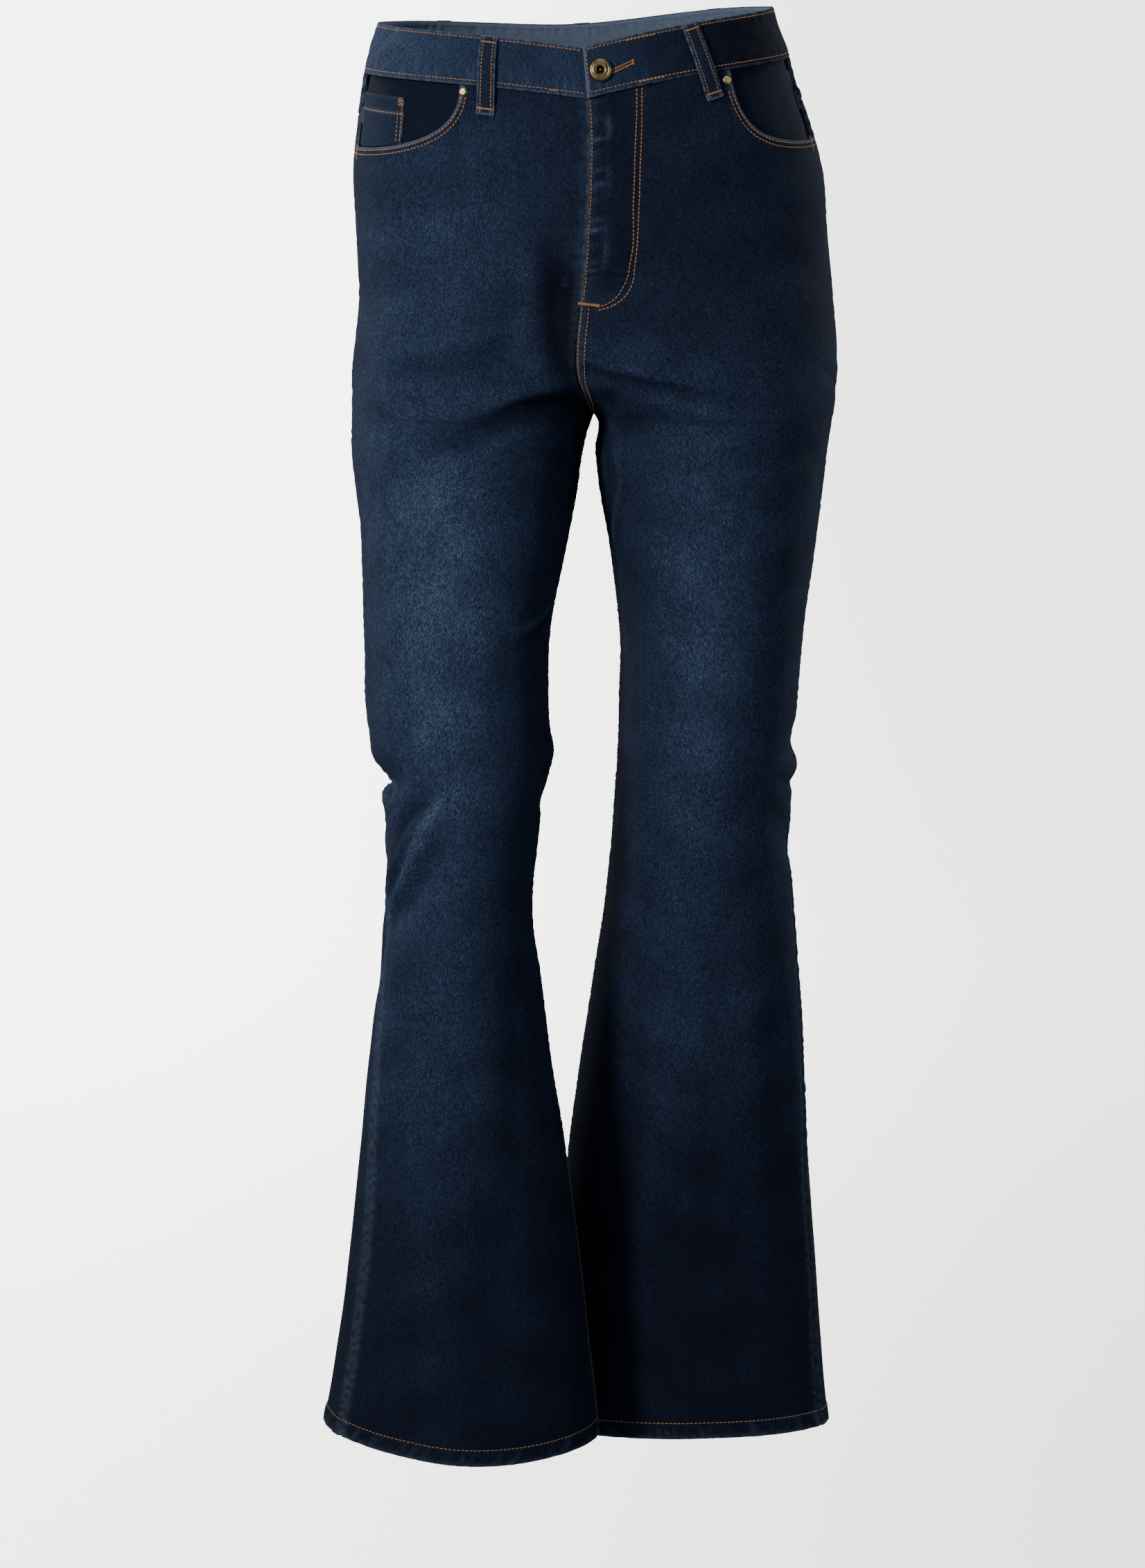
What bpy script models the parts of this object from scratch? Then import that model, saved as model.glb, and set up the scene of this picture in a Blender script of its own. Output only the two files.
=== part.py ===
"""Bootcut jeans in their worn, hollow form, each cut piece a closed wall of denim.

Metres, +Z up. The front faces -Y, so the wearer's right leg is at -X. The origin is the middle of
the waist. Each half of the garment is a horizontal section that changes with height: above the
crotch it is cut off at the plane of the centre seams, and below it closes round the leg.
"""

import math
from collections import namedtuple

import bmesh
import bpy
import numpy as np
from mathutils import Vector

WALL = 0.0014            # denim
HEM_WALL = 0.0030        # denim turned up twice
HEM_HEIGHT = 0.015
SEAM_GAP = 0.0003
LAYER_GAP = 0.0003
BAND_WALL = 0.0026       # two layers and their turnings
BAND_PROUD = 0.0010      # the waistband stands out from the panels
PATCH_WALL = 0.0012      # a patch pocket or a facing

WAIST_TOP = 0.0190       # levels: heights at the side, before the waist line's dip and tilt
WAIST_SEAM = -0.0185
YOKE_SIDE = -0.050
YOKE_CENTRE = -0.088
FLY_END = -0.165
CROTCH = -0.281
THIGH = (-0.325, -0.500)
KNEE = (-0.516, -0.700)
CALF = (-0.730, -1.063)
HEM = -1.0790
WAIST_TILT = 0.0380      # the wearer's left hip is higher, metres of rise per metre across
FRONT_DIP = 0.0235
BACK_DIP = 0.0080
BACK_DIP_START = 110.0   # degrees round from the front
HALF_WAIST = 0.153
WAIST_SHARE = (-0.230, -0.120)   # from none to all of the waist's dip and tilt
HEM_SHARE = (-0.880, -1.070)     # the same for the hem's slant

# The front pockets' scoops: top is where one meets the waistband, in degrees round from the front.
Scoop = namedtuple("Scoop", "top depth power")
SCOOPS = {-1: Scoop(45.4, 0.054, 2.5), 1: Scoop(53.0, 0.059, 3.5)}
FACING_UNDER = 10.0
FACING_DEPTH = 0.078
FACING_SUNK = 0.0043     # behind the front panel's inner face, clear of its facets
FACING_RISE = 0.008
SCOOP_ROWS = (0, 14, 28, 42, 54, 65, 74, 81, 86, 90)
COIN_EDGE = 63.3
COIN_TOP = -0.0315
COIN_OVERRUN = 0.0012    # its lower edge, above the scoop's
COIN_ROWS = 5
COIN_COLUMNS = 5

POCKET_DROP = 0.020      # back pocket, below the yoke seam
POCKET_BOTTOM = -0.232
POCKET_POINT = 0.020
POCKET_MIDDLE = 150.0
POCKET_HALF = 30.0
POCKET_OUTER = (0.152, 0.146)    # distances from the centre seam, at the top and the bottom
POCKET_INNER = (0.026, 0.034)
POCKET_ROWS = 7
POCKET_SHARES = (0.27, 0.73)     # where the pocket's two columns run down the leg
POCKET_FADE = (-0.340, -0.262)   # from there to the pocket's edges
FRONT_COLUMNS = 10
BACK_COLUMNS = (3, 5, 3)
YOKE_COLUMNS = 9
YOKE_ROWS = 4

LOOP_WIDTH = 0.0123
LOOP_WALL = 0.0014
LOOP_ARCH = 0.0022
LOOP_LENGTH = 0.0586
LOOP_FOOT = 0.0010       # its lower end, off the panel
LOOP_BEND = (0.92, 0.72) # shares of its length: from the panel's level to the band's
LOOP_ARCH_END = 0.86
LOOP_ROWS = 10

LAP_UNDER = 18           # the waistband's under end, in degrees past the centre front
LAP_RAMP = 36
LAP_LEVEL = 22
FLY_TOP = 0.001          # the zip and the shield start this far under the waist seam
FLY_ROWS = 10
ZIP_TURNS = (-3, 9)      # degrees round from the centre front
ZIP_SHORT = 0.010
ZIP_SUNK = 0.0026
ZIP_WALL = 0.0012
SHIELD_TURNS = (-6, 21)
SHIELD_SUNK = 0.0044

BUTTON_RADIUS = 0.0085
BUTTON_TURN = 6.2
BUTTON_LEVEL = -0.0006
RIVET_RADIUS = 0.0034
RIVETS = {-1: (44.4, -0.0232), 1: (51.2, -0.0255)}    # turn in degrees and level

Loop = namedtuple("Loop", "name turn tilt")
LOOPS = (
    Loop("front_right", -36.1, -2),
    Loop("front_left", 41.9, 9),
    Loop("back_right", -128, 0),
    Loop("back_left", 128, 0),
    Loop("centre", 180, 0),
)

# Where the torso's outline lies. right and left are the wearer's sides; split is how far each
# leg's own axis has moved off the centre, and inner is its half width towards the centre.
Torso = namedtuple("Torso", "z centre right left split inner front back power seam")
TORSO = (
    Torso(0.040, 0.003, -0.1440, 0.1440, 0.000, 0.100, 0.094, 0.101, 2.25, 88),
    Torso(0.014, 0.004, -0.1486, 0.1500, 0.000, 0.100, 0.098, 0.105, 2.25, 88),
    Torso(-0.010, 0.005, -0.1560, 0.1590, 0.000, 0.100, 0.102, 0.111, 2.25, 88),
    Torso(-0.032, 0.007, -0.1605, 0.1650, 0.000, 0.100, 0.105, 0.118, 2.25, 88),
    Torso(-0.060, 0.009, -0.1638, 0.1750, 0.000, 0.100, 0.109, 0.127, 2.25, 88),
    Torso(-0.100, 0.009, -0.1677, 0.1855, 0.000, 0.100, 0.113, 0.137, 2.25, 88),
    Torso(-0.140, 0.007, -0.1665, 0.1890, 0.000, 0.100, 0.116, 0.143, 2.25, 87),
    Torso(-0.170, 0.005, -0.1650, 0.1915, 0.002, 0.100, 0.117, 0.144, 2.25, 86),
    Torso(-0.200, 0.002, -0.1643, 0.1944, 0.018, 0.100, 0.117, 0.142, 2.25, 85),
    Torso(-0.225, 0.000, -0.1672, 0.1970, 0.036, 0.095, 0.116, 0.137, 2.25, 84),
    Torso(-0.245, 0.001, -0.1700, 0.1974, 0.054, 0.090, 0.115, 0.131, 2.2, 83),
    Torso(-0.262, 0.006, -0.1703, 0.1971, 0.072, 0.091, 0.114, 0.125, 2.2, 82),
    Torso(CROTCH, 0.0134, -0.1705, 0.1945, 0.092, 0.092, 0.110, 0.116, 2.15, 82),
)

# Where each leg's outline lies, from just under the crotch to below the hem.
Leg = namedtuple("Leg", "z outer inner y front back power seam")
RIGHT_LEG = (
    Leg(-0.310, -0.1703, 0.0044, -0.009, 0.104, 0.106, 2.1, 82),
    Leg(-0.340, -0.1670, -0.0004, -0.017, 0.099, 0.100, 2.1, 82),
    Leg(-0.370, -0.1637, -0.0062, -0.026, 0.094, 0.094, 2.1, 82),
    Leg(-0.400, -0.1619, -0.0125, -0.035, 0.090, 0.089, 2.1, 80),
    Leg(-0.430, -0.1607, -0.0182, -0.044, 0.086, 0.085, 2.1, 80),
    Leg(-0.460, -0.1597, -0.0214, -0.052, 0.083, 0.081, 2.1, 79),
    Leg(-0.490, -0.1597, -0.0216, -0.059, 0.080, 0.078, 2.1, 78),
    Leg(-0.520, -0.1550, -0.0205, -0.066, 0.078, 0.076, 2.1, 77),
    Leg(-0.550, -0.1450, -0.0214, -0.072, 0.077, 0.075, 2.1, 76),
    Leg(-0.580, -0.1447, -0.0266, -0.074, 0.076, 0.074, 2.1, 75),
    Leg(-0.610, -0.1430, -0.0309, -0.074, 0.074, 0.072, 2.1, 74),
    Leg(-0.640, -0.1433, -0.0335, -0.072, 0.072, 0.070, 2.1, 69),
    Leg(-0.670, -0.1480, -0.0328, -0.071, 0.071, 0.069, 2.1, 66),
    Leg(-0.700, -0.1512, -0.0285, -0.069, 0.070, 0.068, 2.1, 63),
    Leg(-0.760, -0.1576, -0.0214, -0.062, 0.069, 0.067, 2.1, 62),
    Leg(-0.820, -0.1645, -0.0126, -0.054, 0.068, 0.066, 2.1, 62),
    Leg(-0.880, -0.1706, -0.0045, -0.046, 0.068, 0.065, 2.1, 62),
    Leg(-0.940, -0.1773, 0.0030, -0.038, 0.068, 0.064, 2.1, 64),
    Leg(-1.000, -0.1850, 0.0095, -0.030, 0.069, 0.063, 2.0, 67),
    Leg(-1.060, -0.1960, 0.0155, -0.022, 0.070, 0.062, 1.85, 70),
    Leg(-1.120, -0.2070, 0.0205, -0.014, 0.071, 0.062, 1.65, 71),
)
LEFT_LEG = (
    Leg(-0.310, 0.1901, 0.0145, 0.000, 0.104, 0.108, 2.1, 82),
    Leg(-0.340, 0.1871, 0.0182, 0.000, 0.099, 0.103, 2.1, 82),
    Leg(-0.370, 0.1837, 0.0238, 0.000, 0.094, 0.097, 2.1, 82),
    Leg(-0.400, 0.1797, 0.0283, 0.000, 0.089, 0.092, 2.1, 82),
    Leg(-0.430, 0.1756, 0.0321, 0.000, 0.085, 0.087, 2.1, 82),
    Leg(-0.460, 0.1727, 0.0345, 0.000, 0.081, 0.083, 2.1, 82),
    Leg(-0.500, 0.1695, 0.0336, 0.000, 0.077, 0.079, 2.1, 81),
    Leg(-0.540, 0.1662, 0.0320, 0.000, 0.074, 0.076, 2.1, 80),
    Leg(-0.580, 0.1651, 0.0297, 0.002, 0.072, 0.074, 2.1, 79),
    Leg(-0.620, 0.1652, 0.0268, 0.006, 0.070, 0.072, 2.1, 78),
    Leg(-0.660, 0.1680, 0.0225, 0.010, 0.069, 0.071, 2.1, 77),
    Leg(-0.700, 0.1713, 0.0170, 0.015, 0.067, 0.070, 2.1, 79),
    Leg(-0.760, 0.1759, 0.0078, 0.023, 0.065, 0.067, 2.1, 79),
    Leg(-0.820, 0.1794, -0.0003, 0.031, 0.063, 0.064, 2.1, 79),
    Leg(-0.880, 0.1830, -0.0075, 0.039, 0.061, 0.062, 2.1, 78),
    Leg(-0.940, 0.1888, -0.0130, 0.046, 0.060, 0.060, 2.1, 78),
    Leg(-1.000, 0.1930, -0.0170, 0.052, 0.059, 0.059, 2.1, 78),
    Leg(-1.060, 0.1982, -0.0205, 0.059, 0.058, 0.058, 2.1, 78),
    Leg(-1.120, 0.2040, -0.0245, 0.066, 0.057, 0.058, 2.1, 78),
)

# The largest folds. side is -1 for the wearer's right; angle goes round from the front (0) by the
# outer side (90) to the back (180); a positive depth is a ridge; tilt turns the fold from level.
Fold = namedtuple("Fold", "side angle z length width depth tilt")
FOLDS = (
    Fold(-1, 88, -0.5560, 0.045, 0.0085, -0.0090, -8),
    Fold(-1, 84, -0.5340, 0.045, 0.0100, 0.0030, -6),
    Fold(-1, 80, -0.5740, 0.030, 0.0080, 0.0040, 5),
    Fold(-1, 52, -0.6080, 0.048, 0.0110, 0.0055, -52),
    Fold(-1, 26, -0.6180, 0.050, 0.0160, -0.0050, -55),
    Fold(-1, 78, -0.6800, 0.050, 0.0160, -0.0035, -62),
    Fold(-1, -84, -0.5300, 0.030, 0.0120, 0.0035, 5),
    Fold(-1, -78, -0.5650, 0.035, 0.0120, -0.0035, 12),
    Fold(-1, 180, -0.5450, 0.060, 0.0090, -0.0060, 4),
    Fold(-1, 196, -0.5800, 0.055, 0.0100, -0.0055, -6),
    Fold(-1, 168, -0.6180, 0.060, 0.0110, -0.0045, 8),
    Fold(-1, 8, -0.2150, 0.045, 0.0180, -0.0060, 82),
    Fold(-1, -18, -0.2920, 0.055, 0.0110, -0.0040, 4),
    Fold(-1, 38, -0.2480, 0.045, 0.0100, -0.0025, 10),
    Fold(-1, 176, -0.3080, 0.060, 0.0110, -0.0060, -6),
    Fold(-1, 148, -0.3450, 0.055, 0.0130, -0.0035, 14),
    Fold(1, -24, -0.2660, 0.055, 0.0110, -0.0045, 6),
    Fold(1, 20, -0.3120, 0.050, 0.0120, -0.0030, 12),
    Fold(1, 82, -0.5520, 0.030, 0.0090, 0.0030, 6),
    Fold(1, 84, -0.5280, 0.030, 0.0090, -0.0030, 4),
    Fold(1, 70, -0.6100, 0.045, 0.0120, -0.0030, -30),
    Fold(1, 182, -0.5600, 0.055, 0.0100, -0.0045, -5),
    Fold(1, 170, -0.6050, 0.050, 0.0110, -0.0040, 7),
    Fold(1, 178, -0.3060, 0.060, 0.0110, -0.0060, 6),
    Fold(1, 146, -0.3380, 0.055, 0.0130, -0.0035, -12),
)
FOLD_RADIUS = 0.075
FOLD_FADE = 16.0         # degrees from a centre seam within which the folds die out

# How the hems lie: rise is of the whole hem, across of its outer side and along of its back.
Hem = namedtuple("Hem", "rise across along")
HEMS = {
    -1: Hem(rise=0.0046, across=0.0057, along=0.0126),
    1: Hem(rise=-0.0145, across=0.0008, along=0.0000),
}

COLLECTION = "bootcut_jeans"
SIDES = {-1: "right", 1: "left"}

INDIGO = (0.020, 0.052, 0.105, 1.0)
INDIGO_DARK = (0.012, 0.033, 0.072, 1.0)
BRASS = (0.500, 0.380, 0.160, 1.0)
ZIP_TAPE = (0.020, 0.030, 0.060, 1.0)


class Table:
    """Named columns that change smoothly with height, through every row."""

    def __init__(self, rows):
        rows = sorted(rows, key=lambda row: row.z)
        self.columns = {name: np.array([getattr(row, name) for row in rows]) for name in rows[0]._fields}

    def at(self, name, z):
        heights = self.columns["z"]
        values = self.columns[name]
        slopes = np.gradient(values, heights)
        place = np.clip(np.searchsorted(heights, z) - 1, 0, len(heights) - 2)
        run = heights[place + 1] - heights[place]
        t = np.clip((z - heights[place]) / run, 0, 1)
        return (
            values[place] * (1 + 2 * t) * (1 - t) ** 2
            + values[place + 1] * t * t * (3 - 2 * t)
            + run * (slopes[place] * t * (1 - t) ** 2 - slopes[place + 1] * t * t * (1 - t))
        )


Section = namedtuple("Section", "z centre axis outer inner y front back power seam")


def half_table(side, legs):
    """One half of the garment, hips and leg, as sections about the leg's own axis."""
    rows = []
    for row in TORSO:
        edge = row.right if side < 0 else row.left
        axis = row.centre + side * row.split
        width = abs(edge - axis)
        rows.append(Section(
            row.z, row.centre, axis, width, row.inner, 0.0, row.front, row.back, row.power, row.seam,
        ))
    for row in legs:
        axis = (row.outer + row.inner) / 2
        width = abs(row.outer - row.inner) / 2
        rows.append(Section(
            row.z, TORSO[-1].centre, axis, width, width, row.y, row.front, row.back, row.power, row.seam,
        ))
    return Table(rows)


HALVES = {-1: half_table(-1, RIGHT_LEG), 1: half_table(1, LEFT_LEG)}


def smooth_step(low, high, value):
    t = np.clip((value - low) / (high - low), 0, 1)
    return t * t * (3 - 2 * t)


def rise_and_fall(side, angle, level):
    """How far a line of one level is moved up: the waist's tilt and dips, and the hem's slant."""
    turn = np.clip(angle, 0, math.pi)
    front = np.clip(1 - 0.5 * np.sin(turn) - turn / math.pi, 0, 1) * (turn < math.pi / 2)
    back = smooth_step(math.radians(BACK_DIP_START), math.pi, turn)
    waist = WAIST_TILT * HALF_WAIST * side * np.sin(turn) - FRONT_DIP * front - BACK_DIP * back
    hem = HEMS[side]
    slant = hem.rise + hem.across * np.sin(angle) - hem.along * np.cos(angle)
    return waist * smooth_step(*WAIST_SHARE, level) + slant * smooth_step(*HEM_SHARE, level)


def fold_depth(side, angle, z):
    total = np.zeros(np.broadcast(angle, z).shape)
    for fold in FOLDS:
        if fold.side != side:
            continue
        turn = (angle - math.radians(fold.angle) + math.pi) % (2 * math.pi) - math.pi
        around = turn * FOLD_RADIUS
        rise = z - fold.z
        tilt = math.radians(fold.tilt)
        along = around * math.cos(tilt) + rise * math.sin(tilt)
        across = rise * math.cos(tilt) - around * math.sin(tilt)
        total += fold.depth * np.exp(-((across / fold.width) ** 2) - (along / fold.length) ** 2)
    return total


def cut_angles(side, z):
    """Where the plane of the centre seams cuts a section, at the front and at the back."""
    table = HALVES[side]
    split = side * (table.at("axis", z) - table.at("centre", z)) - SEAM_GAP / 2
    width = np.where(split > 0, table.at("inner", z), table.at("outer", z))
    power = table.at("power", z)
    share = np.clip(np.abs(split) / width, 0, 1) ** power
    depth = np.maximum(1 - share, 0) ** (1 / power)
    front = -np.arctan2(split, table.at("front", z) * depth)
    back = math.pi + np.arctan2(split, table.at("back", z) * depth)
    return front, back


def seam_fade(side, angle, z):
    """Folds die out at the centre seams, so that both halves still meet there."""
    front, back = cut_angles(side, z)
    near = np.minimum(angle - front, back - angle) / math.radians(FOLD_FADE)
    return np.where(z >= CROTCH, smooth_step(0, 1, near), 1.0)


def place(side, angle, level):
    """Points of the cloth's outer face: angle 0 is the front, 90 degrees the outer side."""
    table = HALVES[side]
    z = level + rise_and_fall(side, angle, level)
    sine = np.sin(angle)
    cosine = np.cos(angle)
    across = np.where(sine >= 0, table.at("outer", z), table.at("inner", z))
    along = np.where(cosine >= 0, table.at("front", z), table.at("back", z))
    power = table.at("power", z)
    radius = ((np.abs(sine) / across) ** power + (np.abs(cosine) / along) ** power) ** (-1 / power)
    radius = radius + fold_depth(side, angle, z) * seam_fade(side, angle, z)
    x = table.at("axis", z) + side * radius * sine
    y = table.at("y", z) - radius * cosine
    return np.stack([x, y, z], axis=-1)


def layer(side, angle, level, lift=0.0):
    """Points over the outer face, moved out by lift, or in where it is negative."""
    step = 1e-3
    across = place(side, angle + step, level) - place(side, angle - step, level)
    down = place(side, angle, level - step) - place(side, angle, level + step)
    normal = side * np.cross(down, across)
    normal /= np.linalg.norm(normal, axis=-1, keepdims=True)
    lift = np.broadcast_to(np.asarray(lift, float), np.shape(angle))
    return place(side, angle, level) + normal * lift[..., None]


def around(turn, level, lift=0.0):
    """Like layer, over both halves of the torso: turn is negative on the wearer's right."""
    turn = (turn + math.pi) % (2 * math.pi) - math.pi
    right = layer(-1, np.abs(turn), level, lift)
    left = layer(1, np.abs(turn), level, lift)
    return np.where((turn < 0)[..., None], right, left)


def front_edge(side, level):
    """The angle of a front panel's inner edge: the centre seam, then the inseam."""
    z = level + rise_and_fall(side, np.zeros_like(level), level)
    gap = SEAM_GAP / 2 / HALVES[side].at("inner", z)
    return np.where(level >= CROTCH, cut_angles(side, z)[0], gap - math.pi / 2)


def back_edge(side, level):
    """The angle of a back panel's inner edge: the centre back seam, then the inseam."""
    z = level + rise_and_fall(side, np.full_like(level, math.pi), level)
    gap = SEAM_GAP / 2 / HALVES[side].at("inner", z)
    return np.where(level >= CROTCH, cut_angles(side, z)[1], 1.5 * math.pi - gap)


def side_seam(side, level):
    return np.radians(HALVES[side].at("seam", level))


def half_gap(side, level):
    return SEAM_GAP / 2 / HALVES[side].at("outer", level)


def scoop_edge(side, level):
    """The front panel's outer edge: down the pocket's scoop, then down the side seam."""
    scoop = SCOOPS[side]
    depth = np.clip((WAIST_SEAM - level) / scoop.depth, 0, 1)
    reach = (1 - depth ** scoop.power) ** (1 / scoop.power)
    seam = side_seam(side, level) - half_gap(side, level)
    return seam - (seam - math.radians(scoop.top)) * reach


def scoop_level(side, angle):
    """The same curve the other way: its level at an angle."""
    scoop = SCOOPS[side]
    seam = side_seam(side, np.full_like(angle, WAIST_SEAM))
    reach = np.clip((seam - angle) / (seam - math.radians(scoop.top)), 0, 1)
    return WAIST_SEAM - scoop.depth * (1 - reach ** scoop.power) ** (1 / scoop.power)


def angle_at(side, distance, level):
    """The angle on the back where a section lies this far to the side of the centre seam."""
    low = np.full_like(level, math.pi / 2)
    high = back_edge(side, level)
    for _ in range(30):
        middle = (low + high) / 2
        points = place(side, middle, level)
        reach = side * (points[..., 0] - HALVES[side].at("centre", points[..., 2]))
        low = np.where(reach > distance, middle, low)
        high = np.where(reach > distance, high, middle)
    return (low + high) / 2


def between(first, last, share):
    """A line of points part of the way between two lines, each given as a level for an angle."""
    return lambda angle: first(angle) + (last(angle) - first(angle)) * share


def flat(level):
    return lambda angle: np.full_like(angle, level)


def lines_between(first, last, count, ease=1.0):
    """count lines from first to last. An ease over 1 brings them closer towards last."""
    return [between(first, last, 1 - (1 - share) ** ease) for share in np.linspace(0, 1, count)]


def grid(side, lines, columns_at):
    """Angles and levels over a cut piece: a row for each line, columns from edge to edge."""
    columns = columns_at(side, np.zeros(1)).shape[-1]
    level = np.array([line(np.full(columns, math.pi / 2)) for line in lines])
    for _ in range(8):
        angle = np.stack([columns_at(side, level[:, k])[:, k] for k in range(columns)], axis=1)
        level = np.array([line(angle[i]) for i, line in enumerate(lines)])
    return angle, level


def spread(edges, counts):
    """Columns spaced evenly between edges, which are arrays with one angle for each row."""
    columns = [edges[0][:, None]]
    for first, last, count in zip(edges, edges[1:], counts):
        share = np.arange(1, count + 1) / count
        columns.append(first[:, None] + (last - first)[:, None] * share)
    return np.concatenate(columns, axis=1)


def front_columns(side, level):
    return spread([front_edge(side, level), scoop_edge(side, level)], [FRONT_COLUMNS])


def back_columns(side, level):
    """The back panel's columns, two of which run down the pocket's edges."""
    first = side_seam(side, level) + half_gap(side, level)
    last = back_edge(side, level)
    down = np.clip((YOKE_SIDE - level) / (YOKE_SIDE - POCKET_BOTTOM), 0, 1)
    hip = smooth_step(*POCKET_FADE, level)
    hip_level = np.maximum(level, POCKET_BOTTOM - POCKET_POINT)
    edges = [first]
    for pocket, share in zip((POCKET_OUTER, POCKET_INNER), POCKET_SHARES):
        distance = pocket[0] + (pocket[1] - pocket[0]) * down
        leg = first + (last - first) * share
        edges.append(leg + (angle_at(side, distance, hip_level) - leg) * hip)
    edges.append(last)
    return spread(edges, BACK_COLUMNS)


def yoke_columns(side, level):
    edges = [side_seam(side, level) + half_gap(side, level), back_edge(side, level)]
    return spread(edges, [YOKE_COLUMNS])


def solid(name, outer, inner, material):
    """A closed wall between two grids of points with the same rows and columns."""
    rows, columns = outer.shape[:2]
    under = rows * columns
    faces = []
    for i in range(rows - 1):
        for j in range(columns - 1):
            corner = i * columns + j
            halves = (
                (corner, corner + columns, corner + columns + 1),
                (corner, corner + columns + 1, corner + 1),
            )
            for face in halves:
                faces.append(face)
                faces.append(tuple(under + k for k in reversed(face)))
    rim = list(range(columns))
    rim += [i * columns + columns - 1 for i in range(1, rows)]
    rim += [(rows - 1) * columns + j for j in reversed(range(columns - 1))]
    rim += [i * columns for i in reversed(range(1, rows - 1))]
    for a, b in zip(rim, rim[1:] + rim[:1]):
        faces.append((a, b, under + b, under + a))
    mesh = bpy.data.meshes.new(name)
    points = np.concatenate([outer.reshape(-1, 3), inner.reshape(-1, 3)])
    mesh.from_pydata(points.tolist(), [], faces)
    shape = bmesh.new()
    shape.from_mesh(mesh)
    bmesh.ops.recalc_face_normals(shape, faces=shape.faces)
    shape.to_mesh(mesh)
    shape.free()
    mesh.shade_smooth()
    mesh.set_sharp_from_angle(angle=math.radians(40))
    return add_object(name, mesh, material)


def add_object(name, mesh, material):
    piece = bpy.data.objects.new(name, mesh)
    mesh.materials.append(material)
    bpy.data.collections[COLLECTION].objects.link(piece)
    return piece


def make_material(name, colour, roughness, metallic=0.0):
    material = bpy.data.materials.new(name)
    material.use_nodes = True
    shader = material.node_tree.nodes["Principled BSDF"]
    shader.inputs["Base Color"].default_value = colour
    shader.inputs["Roughness"].default_value = roughness
    shader.inputs["Metallic"].default_value = metallic
    return material


def panel(name, side, lines, columns_at, material):
    """A cut piece's wall, thicker where the hem is turned up."""
    angle, level = grid(side, lines, columns_at)
    turned_up = level < HEM + HEM_HEIGHT + SEAM_GAP
    wall = np.where(turned_up, HEM_WALL, WALL)
    return solid(name, layer(side, angle, level), layer(side, angle, level, -wall), material)


def leg_lines():
    """Lines from under the crotch to the hem, closer at the crotch and the knee."""
    top_of_hem = HEM + HEM_HEIGHT
    levels = [CROTCH - drop for drop in (0.002, 0.010, 0.022)]
    for first, last, count in ((*THIGH, 7), (*KNEE, 15), (*CALF, 11)):
        levels.extend(np.linspace(first, last, count))
    levels += [top_of_hem, HEM]
    return [flat(level) for level in levels]


def front_panel(side, material):
    scoop = SCOOPS[side]
    steps = np.sin(np.radians(SCOOP_ROWS)) ** (2 / scoop.power)
    lines = [flat(WAIST_SEAM - SEAM_GAP / 2 - (scoop.depth - SEAM_GAP / 2) * step) for step in steps]
    side_angle = np.array([math.pi / 2])
    hips = [line(side_angle)[0] for line in hip_lines()]
    lines += [flat(level) for level in hips if level < WAIST_SEAM - scoop.depth - 0.004]
    lines += leg_lines()
    panel(f"front_panel_{SIDES[side]}", side, lines, front_columns, material)


def yoke_line(angle):
    share = np.clip(angle / (math.pi / 2) - 1, 0, 1)
    return YOKE_SIDE + (YOKE_CENTRE - YOKE_SIDE) * share


def pocket_top(angle):
    return yoke_line(angle) - POCKET_DROP


def pocket_bottom(angle):
    """A pocket's lower edge, which comes to a point half way across."""
    off_middle = np.abs(angle - math.radians(POCKET_MIDDLE)) / math.radians(POCKET_HALF)
    slope = (yoke_line(angle) - YOKE_CENTRE) * 0.3
    return POCKET_BOTTOM + slope - POCKET_POINT * np.clip(1 - off_middle, 0, 1)


def hip_lines():
    """Lines from the back pocket's top to the crotch, closer at the crotch."""
    pocket = lines_between(pocket_top, pocket_bottom, POCKET_ROWS + 1)
    return pocket + lines_between(pocket_bottom, flat(CROTCH), 7, ease=1.7)[1:]


def back_panel(side, material):
    lines = [lambda angle: yoke_line(angle) - SEAM_GAP / 2] + hip_lines() + leg_lines()
    panel(f"back_panel_{SIDES[side]}", side, lines, back_columns, material)


def yoke(side, material):
    top = flat(WAIST_SEAM - SEAM_GAP / 2)
    bottom = lambda angle: yoke_line(angle) + SEAM_GAP / 2
    panel(f"yoke_{SIDES[side]}", side, lines_between(top, bottom, YOKE_ROWS), yoke_columns, material)


def back_pocket(side, material):
    """A patch pocket on the back panel's own points, moved out."""
    angle, level = grid(side, lines_between(pocket_top, pocket_bottom, POCKET_ROWS + 1), back_columns)
    across = slice(BACK_COLUMNS[0], BACK_COLUMNS[0] + BACK_COLUMNS[1] + 1)
    angle = angle[:, across]
    level = level[:, across]
    inner = layer(side, angle, level, LAYER_GAP)
    outer = layer(side, angle, level, LAYER_GAP + PATCH_WALL)
    solid(f"back_pocket_{SIDES[side]}", outer, inner, material)


def coin_bottom(side):
    """The coin pocket ends at the scoop's edge."""
    return lambda angle: np.minimum(scoop_level(side, angle) + COIN_OVERRUN, COIN_TOP - 0.004)


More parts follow.
